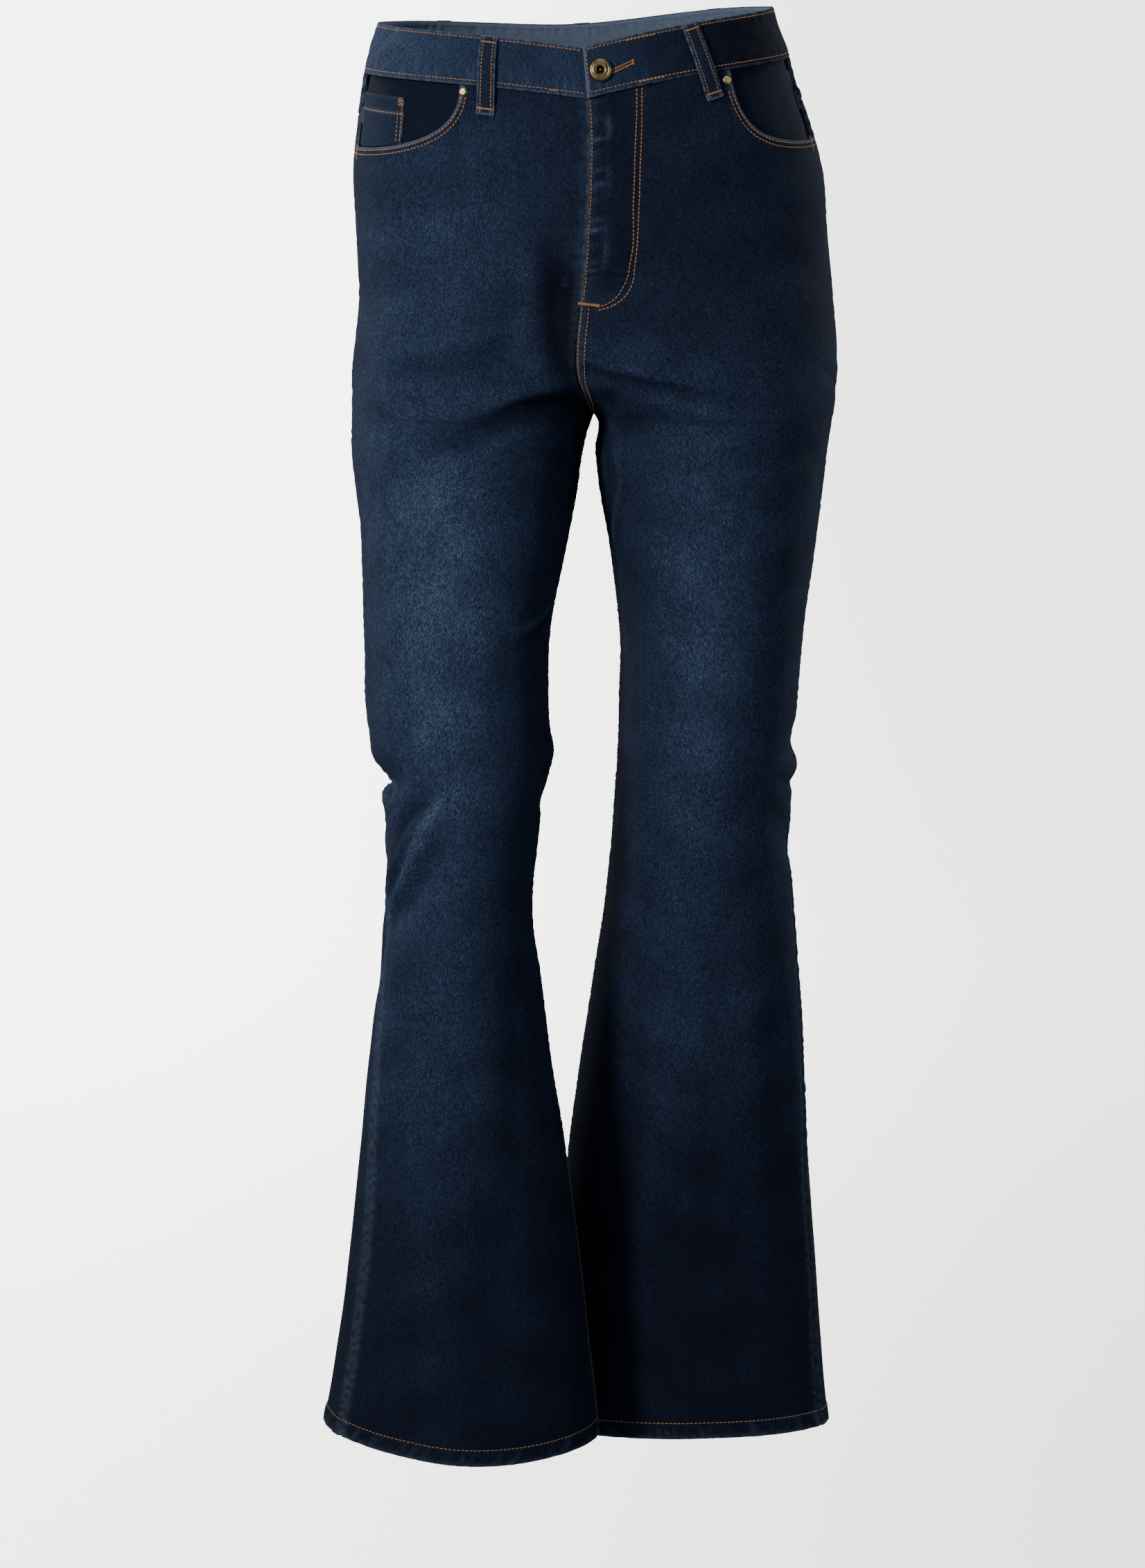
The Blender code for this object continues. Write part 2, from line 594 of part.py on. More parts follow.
def facing_grid(side):
    """Angles and levels over a facing. Its middle lines and last columns bound a coin pocket."""
    seam = HALVES[side].at("seam", WAIST_SEAM)
    under_front = np.linspace(SCOOPS[side].top - FACING_UNDER, COIN_EDGE, 4)
    in_scoop = np.linspace(COIN_EDGE, seam - 1.5, COIN_COLUMNS)
    columns = np.radians(np.concatenate([under_front, in_scoop[1:], [seam + 4]]))
    lines = [flat(WAIST_SEAM + FACING_RISE)]
    lines += lines_between(flat(COIN_TOP), coin_bottom(side), COIN_ROWS)
    lines += [flat(WAIST_SEAM - FACING_DEPTH)]
    angle = np.broadcast_to(columns, (len(lines), len(columns)))
    return angle, np.array([line(columns) for line in lines])


def pocket_facing(side, material):
    """The denim behind a scoop, from behind the waistband to behind the panels round it."""
    angle, level = facing_grid(side)
    outer = layer(side, angle, level, -FACING_SUNK)
    inner = layer(side, angle, level, -FACING_SUNK - PATCH_WALL)
    solid(f"pocket_facing_{SIDES[side]}", outer, inner, material)


def coin_pocket(side, material):
    """A small patch in the scoop, on the facing's own points, moved out."""
    angle, level = facing_grid(side)
    angle = angle[1:1 + COIN_ROWS, 3:3 + COIN_COLUMNS]
    level = level[1:1 + COIN_ROWS, 3:3 + COIN_COLUMNS]
    inner = layer(side, angle, level, LAYER_GAP - FACING_SUNK)
    outer = layer(side, angle, level, LAYER_GAP - FACING_SUNK + PATCH_WALL)
    solid("coin_pocket", outer, inner, material)


def band_lift(turn):
    """How far the waistband's outer face stands out: its end laps over its beginning."""
    lapped = smooth_step(math.radians(LAP_RAMP), math.radians(LAP_LEVEL), turn + 2 * math.pi)
    return BAND_PROUD + (BAND_WALL + LAYER_GAP) * lapped


def waistband(material):
    """One strip, from the wearer's left of the fly by the right and the back to the lapped end."""
    lap = np.arange(LAP_UNDER, 0, -3)
    body = np.arange(0, LAP_RAMP - 360 + 3, -6)
    over = np.append(np.arange(LAP_RAMP - 360, -360, -3), -360)
    turn = np.radians(np.concatenate([lap, body, over]).astype(float))[None, :]
    level = np.linspace(WAIST_TOP, WAIST_SEAM + SEAM_GAP / 2, 4)[:, None]
    turn, level = np.broadcast_arrays(turn, level)
    lift = band_lift(turn)
    outer = around(turn, level, lift)
    inner = around(turn, level, lift - BAND_WALL)
    solid("waistband", outer, inner, material)


def patch(turn, level, across, down, tilt):
    """Turns and levels of flat points, in metres, laid on the torso about one place."""
    step = 1e-3
    here = around(np.array([turn, turn + step, turn]), np.array([level, level, level - step]))
    per_turn = np.linalg.norm(here[1] - here[0]) / step
    per_level = np.linalg.norm(here[2] - here[0]) / step
    lean = math.radians(tilt)
    sideways = across * math.cos(lean) + down * math.sin(lean)
    downwards = down * math.cos(lean) - across * math.sin(lean)
    return turn + sideways / per_turn, level - downwards / per_level


def belt_loop(loop, material):
    """A strip that arches over the waistband, held at its top and below the band."""
    share = np.linspace(0, 1, LOOP_ROWS)
    width = np.array([-0.5, 0, 0.5]) * LOOP_WIDTH
    down, across = np.meshgrid(share * LOOP_LENGTH, width, indexing="ij")
    turn, level = patch(math.radians(loop.turn), WAIST_TOP, across, down, loop.tilt)
    arch = LOOP_ARCH * np.sin(math.pi * np.clip(share / LOOP_ARCH_END, 0, 1)) ** 0.7
    over_band = smooth_step(*LOOP_BEND, share)
    lift = (BAND_PROUD + LAYER_GAP) * over_band + LOOP_FOOT * (1 - over_band) + arch
    lift = np.broadcast_to(lift[:, None], turn.shape)
    inner = around(turn, level, lift)
    outer = around(turn, level, lift + LOOP_WALL)
    solid(f"belt_loop_{loop.name}", outer, inner, material)


def strip(name, turns, bottom, sunk, wall, material):
    """A plain strip behind the fly, with a column every 3 degrees."""
    columns = (turns[1] - turns[0]) // 3 + 1
    turn = np.radians(np.linspace(*turns, columns))[None, :]
    level = np.linspace(WAIST_SEAM - FLY_TOP, bottom, FLY_ROWS)[:, None]
    turn, level = np.broadcast_arrays(turn, level)
    outer = around(turn, level, -sunk)
    inner = around(turn, level, -sunk - wall)
    solid(name, outer, inner, material)


def turned(name, profile, turn, level, lift, material):
    """A round piece, turned about its own Z axis and set square on the cloth."""
    mesh = bpy.data.meshes.new(name)
    points = [(radius, 0.0, height) for radius, height in profile]
    mesh.from_pydata(points, [(i, i + 1) for i in range(len(points) - 1)], [])
    piece = add_object(name, mesh, material)
    screw = piece.modifiers.new("turned", "SCREW")
    screw.steps = 28
    screw.render_steps = 28
    screw.use_merge_vertices = True
    screw.merge_threshold = 0.00001
    turn = np.array([math.radians(turn)])
    level = np.array([level])
    foot = around(turn, level, lift)[0]
    normal = around(turn, level, lift + 0.01)[0] - foot
    piece.location = foot
    piece.rotation_euler = Vector(normal).to_track_quat("Z", "Y").to_euler()
    return piece


def button(material):
    profile = (
        (0.0, 0.0021), (0.0008, 0.0019), (0.0011, 0.0011), (0.0024, 0.0011), (0.0027, 0.0033),
        (0.0036, 0.0040), (0.0060, 0.0042), (0.0078, 0.0035), (BUTTON_RADIUS, 0.0021),
        (0.0079, 0.0004), (0.0070, 0.0), (0.0, 0.0),
    )
    lift = BAND_PROUD + BAND_WALL + 2 * LAYER_GAP
    turned("button", profile, BUTTON_TURN, BUTTON_LEVEL, lift, material)


def rivet(side, place_on, material):
    profile = (
        (0.0, 0.0015), (0.0012, 0.0014), (0.0024, 0.0010), (0.0031, 0.0005), (RIVET_RADIUS, 0.0),
        (0.0, 0.0),
    )
    turned(f"rivet_{SIDES[side]}", profile, side * place_on[0], place_on[1], LAYER_GAP, material)


def build():
    denim = make_material("denim", INDIGO, 0.85)
    loop_denim = make_material("denim_loop", INDIGO, 0.85)
    pocket_denim = make_material("denim_pocket", INDIGO_DARK, 0.85)
    brass = make_material("brass", BRASS, 0.35, metallic=1.0)
    tape = make_material("zip_tape", ZIP_TAPE, 0.80)
    for side in SIDES:
        front_panel(side, denim)
        back_panel(side, denim)
        yoke(side, denim)
        back_pocket(side, pocket_denim)
        pocket_facing(side, pocket_denim)
        rivet(side, RIVETS[side], brass)
    coin_pocket(-1, pocket_denim)
    waistband(denim)
    for loop in LOOPS:
        belt_loop(loop, loop_denim)
    strip("zip", ZIP_TURNS, FLY_END + ZIP_SHORT, ZIP_SUNK, ZIP_WALL, tape)
    strip("fly_shield", SHIELD_TURNS, FLY_END, SHIELD_SUNK, WALL, denim)
    button(brass)


for leftover in list(bpy.data.objects):
    bpy.data.objects.remove(leftover)
bpy.context.scene.collection.children.link(bpy.data.collections.new(COLLECTION))
build()
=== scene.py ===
"""The finished look of the bootcut jeans, built on the same sections as the solids.

Each panel is a fine shell on its solid's form, with creases, seams and puckers worked out from the
same surface, so that the stitches lie on it.
"""

import math
from collections import namedtuple

import bmesh
import bpy
import numpy as np
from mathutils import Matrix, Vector


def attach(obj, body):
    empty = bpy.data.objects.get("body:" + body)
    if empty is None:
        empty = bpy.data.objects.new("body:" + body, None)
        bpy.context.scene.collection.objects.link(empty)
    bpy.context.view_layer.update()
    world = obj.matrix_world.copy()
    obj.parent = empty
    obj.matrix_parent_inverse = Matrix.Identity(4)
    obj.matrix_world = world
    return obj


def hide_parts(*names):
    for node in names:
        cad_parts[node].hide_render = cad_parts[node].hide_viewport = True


WALL = 0.0014            # denim
HEM_WALL = 0.0030        # denim turned up twice
HEM_HEIGHT = 0.015
SEAM_GAP = 0.0003
LAYER_GAP = 0.0003
BAND_WALL = 0.0026       # two layers and their turnings
BAND_PROUD = 0.0010      # the waistband stands out from the panels
PATCH_WALL = 0.0012      # a patch pocket or a facing
ALLOWANCE = 0.0060       # a seam allowance's width to each side
ALLOWANCE_GAP = 0.0002
ALLOWANCE_WALL = 0.0009

WAIST_TOP = 0.0190       # levels: heights at the side, before the waist line's dip and tilt
WAIST_SEAM = -0.0185
YOKE_SIDE = -0.050
YOKE_CENTRE = -0.088
FLY_END = -0.165
CROTCH = -0.281          # the torso's lowest section
HEM = -1.0790
WAIST_TILT = 0.0380      # the wearer's left hip is higher, metres of rise per metre across
FRONT_DIP = 0.0235
BACK_DIP = 0.0080
BACK_DIP_START = 110.0   # degrees round from the front
HALF_WAIST = 0.153
WAIST_SHARE = (-0.230, -0.120)   # from none to all of the waist's dip and tilt
HEM_SHARE = (-0.880, -1.070)     # the same for the hem's slant

# The front pockets' scoops: top is where one meets the waistband, in degrees round from the front.
Scoop = namedtuple("Scoop", "top depth power")
SCOOPS = {-1: Scoop(45.4, 0.054, 2.5), 1: Scoop(53.0, 0.059, 3.5)}
FACING_UNDER = 10.0
FACING_DEPTH = 0.078
FACING_SUNK = 0.0043     # behind the front panel's inner face, clear of its facets
FACING_RISE = 0.008
COIN_EDGE = 63.3
COIN_TOP = -0.0315
COIN_OVERRUN = 0.0012    # its lower edge, above the scoop's

PATCH_HEM = 0.012        # along a back pocket's top
POCKET_DROP = 0.020      # back pocket, below the yoke seam
POCKET_BOTTOM = -0.232
POCKET_POINT = 0.020
POCKET_MIDDLE = 150.0
POCKET_HALF = 30.0
POCKET_OUTER = (0.152, 0.146)    # distances from the centre seam, at the top and the bottom
POCKET_INNER = (0.026, 0.034)

LOOP_WIDTH = 0.0123
LOOP_WALL = 0.0014
LOOP_ARCH = 0.0022
LOOP_LENGTH = 0.0586
LOOP_FOOT = 0.0010       # its lower end, off the panel
LOOP_BEND = (0.92, 0.72) # shares of its length: from the panel's level to the band's
LOOP_ARCH_END = 0.86

LAP_UNDER = 18           # the waistband's under end, in degrees past the centre front
LAP_RAMP = 36
LAP_LEVEL = 22
LAP_END = (-358.9, -359.4, -359.75, -360)    # its last rings
LAP_THINS = -359.3
FLY_TOP = 0.001          # the zip and the shield start this far under the waist seam
ZIP_TURNS = (-3, 9)      # degrees round from the centre front
ZIP_SHORT = 0.010
ZIP_SUNK = 0.0026
ZIP_WALL = 0.0012
SHIELD_TURNS = (-6, 21)
SHIELD_SUNK = 0.0044

# Metres a radian, near enough, where only the spacing of waves and columns needs them.
BAND_RADIUS = 0.125
YOKE_PACE = 0.14
SCOOP_PACE = 0.135
POCKET_PACE = 0.13
SIDE_PACE = 0.11
INSEAM_PACE = 0.10
HEM_PACE = 0.085

LOWER_LEG = (-0.45, -0.75)       # where the seams' puckers grow
SCOOP_LOW = -0.105       # below all of a scoop
STEP = 1e-3              # between two points that give a slope
FULL_TURN = 2 * math.pi

BUTTON_TURN = 6.2
BUTTON_LEVEL = -0.0006
RIVETS = {-1: (44.4, -0.0232), 1: (51.2, -0.0255)}    # turn in degrees and level


def records(kind, text):
    """A table's rows, one to a line. What follows a # is a note."""
    lines = [line.split("#")[0].split() for line in text.splitlines()]
    return tuple(kind(*map(float, words)) for words in lines if words)


Loop = namedtuple("Loop", "name turn tilt")
LOOPS = (
    Loop("front_right", -36.1, -2),
    Loop("front_left", 41.9, 9),
    Loop("back_right", -128, 0),
    Loop("back_left", 128, 0),
    Loop("centre", 180, 0),
)

# Where the torso's outline lies. right and left are the wearer's sides; split is how far each
# leg's own axis has moved off the centre, and inner is its half width towards the centre.
Torso = namedtuple("Torso", "z centre right left split inner front back power seam")
TORSO = records(Torso, """
      0.04  0.003  -0.144  0.144     0   0.1 0.094 0.101 2.25 88
     0.014  0.004 -0.1486   0.15     0   0.1 0.098 0.105 2.25 88
     -0.01  0.005  -0.156  0.159     0   0.1 0.102 0.111 2.25 88
    -0.032  0.007 -0.1605  0.165     0   0.1 0.105 0.118 2.25 88
     -0.06  0.009 -0.1638  0.175     0   0.1 0.109 0.127 2.25 88
      -0.1  0.009 -0.1677 0.1855     0   0.1 0.113 0.137 2.25 88
     -0.14  0.007 -0.1665  0.189     0   0.1 0.116 0.143 2.25 87
     -0.17  0.005  -0.165 0.1915 0.002   0.1 0.117 0.144 2.25 86
      -0.2  0.002 -0.1643 0.1944 0.018   0.1 0.117 0.142 2.25 85
    -0.225      0 -0.1672  0.197 0.036 0.095 0.116 0.137 2.25 84
    -0.245  0.001   -0.17 0.1974 0.054  0.09 0.115 0.131  2.2 83
    -0.262  0.006 -0.1703 0.1971 0.072 0.091 0.114 0.125  2.2 82
    -0.281 0.0134 -0.1705 0.1945 0.092 0.092  0.11 0.116 2.15 82
""")

# Where each leg's outline lies, from just under the crotch to below the hem.
Leg = namedtuple("Leg", "z outer inner y front back power seam")
RIGHT_LEG = records(Leg, """
    -0.31 -0.1703  0.0044 -0.009 0.104 0.106  2.1 82
    -0.34  -0.167 -0.0004 -0.017 0.099   0.1  2.1 82
    -0.37 -0.1637 -0.0062 -0.026 0.094 0.094  2.1 82
     -0.4 -0.1619 -0.0125 -0.035  0.09 0.089  2.1 80
    -0.43 -0.1607 -0.0182 -0.044 0.086 0.085  2.1 80
    -0.46 -0.1597 -0.0214 -0.052 0.083 0.081  2.1 79
    -0.49 -0.1597 -0.0216 -0.059  0.08 0.078  2.1 78
    -0.52  -0.155 -0.0205 -0.066 0.078 0.076  2.1 77
    -0.55  -0.145 -0.0214 -0.072 0.077 0.075  2.1 76
    -0.58 -0.1447 -0.0266 -0.074 0.076 0.074  2.1 75
    -0.61  -0.143 -0.0309 -0.074 0.074 0.072  2.1 74
    -0.64 -0.1433 -0.0335 -0.072 0.072  0.07  2.1 69
    -0.67  -0.148 -0.0328 -0.071 0.071 0.069  2.1 66
     -0.7 -0.1512 -0.0285 -0.069  0.07 0.068  2.1 63
    -0.76 -0.1576 -0.0214 -0.062 0.069 0.067  2.1 62
    -0.82 -0.1645 -0.0126 -0.054 0.068 0.066  2.1 62
    -0.88 -0.1706 -0.0045 -0.046 0.068 0.065  2.1 62
    -0.94 -0.1773   0.003 -0.038 0.068 0.064  2.1 64
       -1  -0.185  0.0095  -0.03 0.069 0.063    2 67
    -1.06  -0.196  0.0155 -0.022  0.07 0.062 1.85 70
    -1.12  -0.207  0.0205 -0.014 0.071 0.062 1.65 71
""")
LEFT_LEG = records(Leg, """
    -0.31 0.1901  0.0145     0 0.104 0.108 2.1 82
    -0.34 0.1871  0.0182     0 0.099 0.103 2.1 82
    -0.37 0.1837  0.0238     0 0.094 0.097 2.1 82
     -0.4 0.1797  0.0283     0 0.089 0.092 2.1 82
    -0.43 0.1756  0.0321     0 0.085 0.087 2.1 82
    -0.46 0.1727  0.0345     0 0.081 0.083 2.1 82
     -0.5 0.1695  0.0336     0 0.077 0.079 2.1 81
    -0.54 0.1662   0.032     0 0.074 0.076 2.1 80
    -0.58 0.1651  0.0297 0.002 0.072 0.074 2.1 79
    -0.62 0.1652  0.0268 0.006  0.07 0.072 2.1 78
    -0.66  0.168  0.0225  0.01 0.069 0.071 2.1 77
     -0.7 0.1713   0.017 0.015 0.067  0.07 2.1 79
    -0.76 0.1759  0.0078 0.023 0.065 0.067 2.1 79
    -0.82 0.1794 -0.0003 0.031 0.063 0.064 2.1 79
    -0.88  0.183 -0.0075 0.039 0.061 0.062 2.1 78
    -0.94 0.1888  -0.013 0.046  0.06  0.06 2.1 78
       -1  0.193  -0.017 0.052 0.059 0.059 2.1 78
    -1.06 0.1982 -0.0205 0.059 0.058 0.058 2.1 78
    -1.12  0.204 -0.0245 0.066 0.057 0.058 2.1 78
""")

# The largest folds. side is -1 for the wearer's right; angle goes round from the front (0) by the
# outer side (90) to the back (180); a positive depth is a ridge; tilt turns the fold from level.
Fold = namedtuple("Fold", "side angle z length width depth tilt")
FOLDS = records(Fold, """
    -1  88 -0.556 0.045 0.0085  -0.009  -8
    -1  84 -0.534 0.045   0.01   0.003  -6
    -1  80 -0.574  0.03  0.008   0.004   5
    -1  52 -0.608 0.048  0.011  0.0055 -52
    -1  26 -0.618  0.05  0.016  -0.005 -55
    -1  78  -0.68  0.05  0.016 -0.0035 -62
    -1 -84  -0.53  0.03  0.012  0.0035   5
    -1 -78 -0.565 0.035  0.012 -0.0035  12
    -1 180 -0.545  0.06  0.009  -0.006   4
    -1 196  -0.58 0.055   0.01 -0.0055  -6
    -1 168 -0.618  0.06  0.011 -0.0045   8
    -1   8 -0.215 0.045  0.018  -0.006  82
    -1 -18 -0.292 0.055  0.011  -0.004   4
    -1  38 -0.248 0.045   0.01 -0.0025  10
    -1 176 -0.308  0.06  0.011  -0.006  -6
    -1 148 -0.345 0.055  0.013 -0.0035  14
     1 -24 -0.266 0.055  0.011 -0.0045   6
     1  20 -0.312  0.05  0.012  -0.003  12
     1  82 -0.552  0.03  0.009   0.003   6
     1  84 -0.528  0.03  0.009  -0.003   4
     1  70  -0.61 0.045  0.012  -0.003 -30
     1 182  -0.56 0.055   0.01 -0.0045  -5
     1 170 -0.605  0.05  0.011  -0.004   7
     1 178 -0.306  0.06  0.011  -0.006   6
     1 146 -0.338 0.055  0.013 -0.0035 -12
""")
FOLD_RADIUS = 0.075
FOLD_FADE = 16.0         # degrees from a centre seam within which the folds die out

# How the hems lie: rise is of the whole hem, across of its outer side and along of its back.
Hem = namedtuple("Hem", "rise across along")
HEMS = {
    -1: Hem(rise=0.0046, across=0.0057, along=0.0126),
    1: Hem(rise=-0.0145, across=0.0008, along=0.0000),
}

SIDES = {-1: "right", 1: "left"}


def read_smoothly(knots, values, at):
    """Values read between rising knots, without corners. They may have several columns."""
    slopes = np.gradient(values, knots, axis=0)
    before = np.clip(np.searchsorted(knots, at) - 1, 0, len(knots) - 2)
    run = knots[before + 1] - knots[before]
    t = np.clip((at - knots[before]) / run, 0, 1)
    if values.ndim > 1:
        run, t = run[:, None], t[:, None]
    return (
        values[before] * (1 + 2 * t) * (1 - t) ** 2
        + values[before + 1] * t * t * (3 - 2 * t)
        + run * (slopes[before] * t * (1 - t) ** 2 - slopes[before + 1] * t * t * (1 - t))
    )


class Table:
    """Named columns that change smoothly with height, through every row."""

    def __init__(self, rows):
        rows = sorted(rows, key=lambda row: row.z)
        columns = zip(*rows)
        self.columns = {name: np.array(column) for name, column in zip(Section._fields, columns)}

    def at(self, name, z):
        return read_smoothly(self.columns["z"], self.columns[name], z)


Section = namedtuple("Section", "z centre axis outer inner y front back power seam")


def half_table(side, legs):
    """One half of the garment, hips and leg, as sections about the leg's own axis."""
    rows = []
    for row in TORSO:
        axis = row.centre + side * row.split
        width = abs((row.right if side < 0 else row.left) - axis)
        rows.append(Section(row.z, row.centre, axis, width, row.inner, 0.0, *row[6:]))
    for row in legs:
        axis = (row.outer + row.inner) / 2
        width = abs(row.outer - row.inner) / 2
        rows.append(Section(row.z, TORSO[-1].centre, axis, width, width, *row[3:]))
    return Table(rows)


HALVES = {-1: half_table(-1, RIGHT_LEG), 1: half_table(1, LEFT_LEG)}


def smooth_step(low, high, value):
    t = np.clip((value - low) / (high - low), 0, 1)
    return t * t * (3 - 2 * t)


def rise_and_fall(side, angle, level):
    """How far a line of one level is moved up: the waist's tilt and dips, and the hem's slant."""
    turn = np.clip(angle, 0, math.pi)
    front = np.clip(1 - 0.5 * np.sin(turn) - turn / math.pi, 0, 1) * (turn < math.pi / 2)
    back = smooth_step(math.radians(BACK_DIP_START), math.pi, turn)
    waist = WAIST_TILT * HALF_WAIST * side * np.sin(turn) - FRONT_DIP * front - BACK_DIP * back
    hem = HEMS[side]
    slant = hem.rise + hem.across * np.sin(angle) - hem.along * np.cos(angle)
    return waist * smooth_step(*WAIST_SHARE, level) + slant * smooth_step(*HEM_SHARE, level)


def wrap(angle):
    return (angle + math.pi) % FULL_TURN - math.pi


def tilted(around_m, rise, degrees):
    """Distances along and across a fold that is tilted from level."""
    tilt = math.radians(degrees)
    along = around_m * math.cos(tilt) + rise * math.sin(tilt)
    return along, rise * math.cos(tilt) - around_m * math.sin(tilt)


def fold_depth(side, angle, z):
    total = np.zeros(np.broadcast(angle, z).shape)
    for fold in FOLDS:
        if fold.side == side:
            turn = wrap(angle - math.radians(fold.angle))
            along, across = tilted(turn * FOLD_RADIUS, z - fold.z, fold.tilt)
            total += fold.depth * np.exp(-((across / fold.width) ** 2) - (along / fold.length) ** 2)
    return total


def cut_angles(side, z):
    """Where the plane of the centre seams cuts a section, at the front and at the back."""
    table = HALVES[side]
    split = side * (table.at("axis", z) - table.at("centre", z)) - SEAM_GAP / 2
    width = np.where(split > 0, table.at("inner", z), table.at("outer", z))
    power = table.at("power", z)
    share = np.clip(np.abs(split) / width, 0, 1) ** power
    depth = np.maximum(1 - share, 0) ** (1 / power)
    front = -np.arctan2(split, table.at("front", z) * depth)
    back = math.pi + np.arctan2(split, table.at("back", z) * depth)
    return front, back


def seam_fade(side, angle, z):
    """Folds die out at the centre seams, so that both halves still meet there."""
    front, back = cut_angles(side, z)
    near = np.minimum(angle - front, back - angle) / math.radians(FOLD_FADE)
    return np.where(z >= CROTCH, smooth_step(0, 1, near), 1.0)


def place(side, angle, level):
    """Points of the cloth's outer face: angle 0 is the front, 90 degrees the outer side."""
    table = HALVES[side]
    z = level + rise_and_fall(side, angle, level)
    sine = np.sin(angle)
    cosine = np.cos(angle)
    across = np.where(sine >= 0, table.at("outer", z), table.at("inner", z))
    along = np.where(cosine >= 0, table.at("front", z), table.at("back", z))
    power = table.at("power", z)
    radius = ((np.abs(sine) / across) ** power + (np.abs(cosine) / along) ** power) ** (-1 / power)
    radius = radius + fold_depth(side, angle, z) * seam_fade(side, angle, z)
    x = table.at("axis", z) + side * radius * sine
    y = table.at("y", z) - radius * cosine
    return np.stack([x, y, z], axis=-1)


def unit(vectors):
    return vectors / np.linalg.norm(vectors, axis=-1, keepdims=True)


def slopes_at(side, angle, level):
    """The outward normal, and metres for each radian round and for each metre of level."""
    across = place(side, angle + STEP, level) - place(side, angle - STEP, level)
    down = place(side, angle, level - STEP) - place(side, angle, level + STEP)
    pace, fall = (np.linalg.norm(way, axis=-1) / (2 * STEP) for way in (across, down))
    return unit(side * np.cross(down, across)), pace, fall


def pace_at(side, angle, level):
    return slopes_at(side, angle, level)[1]


def layer(side, angle, level, lift=0.0):
    """Points over the outer face, moved out by lift, or in where it is negative."""
    lift = np.broadcast_to(np.asarray(lift, float), np.shape(angle))
    return place(side, angle, level) + slopes_at(side, angle, level)[0] * lift[..., None]


def around(turn, level, lift=0.0):
    """Like layer, over both halves of the torso: turn is negative on the wearer's right."""
    turn = wrap(turn)
    right, left = (layer(side, np.abs(turn), level, lift) for side in SIDES)
    return np.where((turn < 0)[..., None], right, left)


def panel_edge(side, level, back):
    """The angle of a panel's inner edge: the centre front or back seam, then the inseam."""
    z = level + rise_and_fall(side, np.full_like(level, math.pi if back else 0.0), level)
    gap = SEAM_GAP / 2 / HALVES[side].at("inner", z)
    inseam = 1.5 * math.pi - gap if back else gap - math.pi / 2
    return np.where(level >= CROTCH, cut_angles(side, z)[back], inseam)


def front_edge(side, level):
    return panel_edge(side, level, 0)


def back_edge(side, level):
    return panel_edge(side, level, 1)


def side_seam(side, level):
    return np.radians(HALVES[side].at("seam", level))


def half_gap(side, level):
    return SEAM_GAP / 2 / HALVES[side].at("outer", level)


def scoop_level(side, angle):
    """The level of a pocket's scoop at an angle."""
    scoop = SCOOPS[side]
    seam = side_seam(side, np.full_like(angle, WAIST_SEAM))
    reach = np.clip((seam - angle) / (seam - math.radians(scoop.top)), 0, 1)
    return WAIST_SEAM - scoop.depth * (1 - reach ** scoop.power) ** (1 / scoop.power)


def angle_at(side, distance, level):
    """The angle on the back where a section lies this far to the side of the centre seam."""
    low = np.full_like(level, math.pi / 2)
    high = back_edge(side, level)
    for _ in range(30):
        middle = (low + high) / 2
        points = place(side, middle, level)
        reach = side * (points[..., 0] - HALVES[side].at("centre", points[..., 2]))
        low = np.where(reach > distance, middle, low)
        high = np.where(reach > distance, high, middle)
    return (low + high) / 2


def between(first, last, share):
    """A line of points part of the way between two lines, each given as a level for an angle."""
    return lambda angle: first(angle) + (last(angle) - first(angle)) * share


def flat(level):
    return lambda angle: np.full_like(angle, level)


def lines_between(first, last, count):
    """count lines from first to last."""
    return [between(first, last, share) for share in np.linspace(0, 1, count)]


def yoke_line(angle):
    share = np.clip(angle / (math.pi / 2) - 1, 0, 1)
    return YOKE_SIDE + (YOKE_CENTRE - YOKE_SIDE) * share


def pocket_top(angle):
    return yoke_line(angle) - POCKET_DROP


def pocket_bottom(angle):
    """A pocket's lower edge, which comes to a point half way across."""
    off_middle = np.abs(angle - math.radians(POCKET_MIDDLE)) / math.radians(POCKET_HALF)
    slope = (yoke_line(angle) - YOKE_CENTRE) * 0.3
    return POCKET_BOTTOM + slope - POCKET_POINT * np.clip(1 - off_middle, 0, 1)


def coin_bottom(side):
    """The coin pocket ends at the scoop's edge."""
    return lambda angle: np.minimum(scoop_level(side, angle) + COIN_OVERRUN, COIN_TOP - 0.004)


def band_lift(turn):
    """How far the waistband's outer face stands out: its end laps over its beginning."""
    lapped = smooth_step(math.radians(LAP_RAMP), math.radians(LAP_LEVEL), turn + FULL_TURN)
    return BAND_PROUD + (BAND_WALL + LAYER_GAP) * lapped


def patch(turn, level, across, down, tilt):
    """Turns and levels of flat points, in metres, laid on the torso about one place."""
    here = around(np.array([turn, turn + STEP, turn]), np.array([level, level, level - STEP]))
    per_turn, per_level = (np.linalg.norm(here[k] - here[0]) / STEP for k in (1, 2))
    sideways, downwards = tilted(across, down, tilt)
    return turn + sideways / per_turn, level - downwards / per_level


# ---------------------------------------------------------------- the finished cloth's fine form

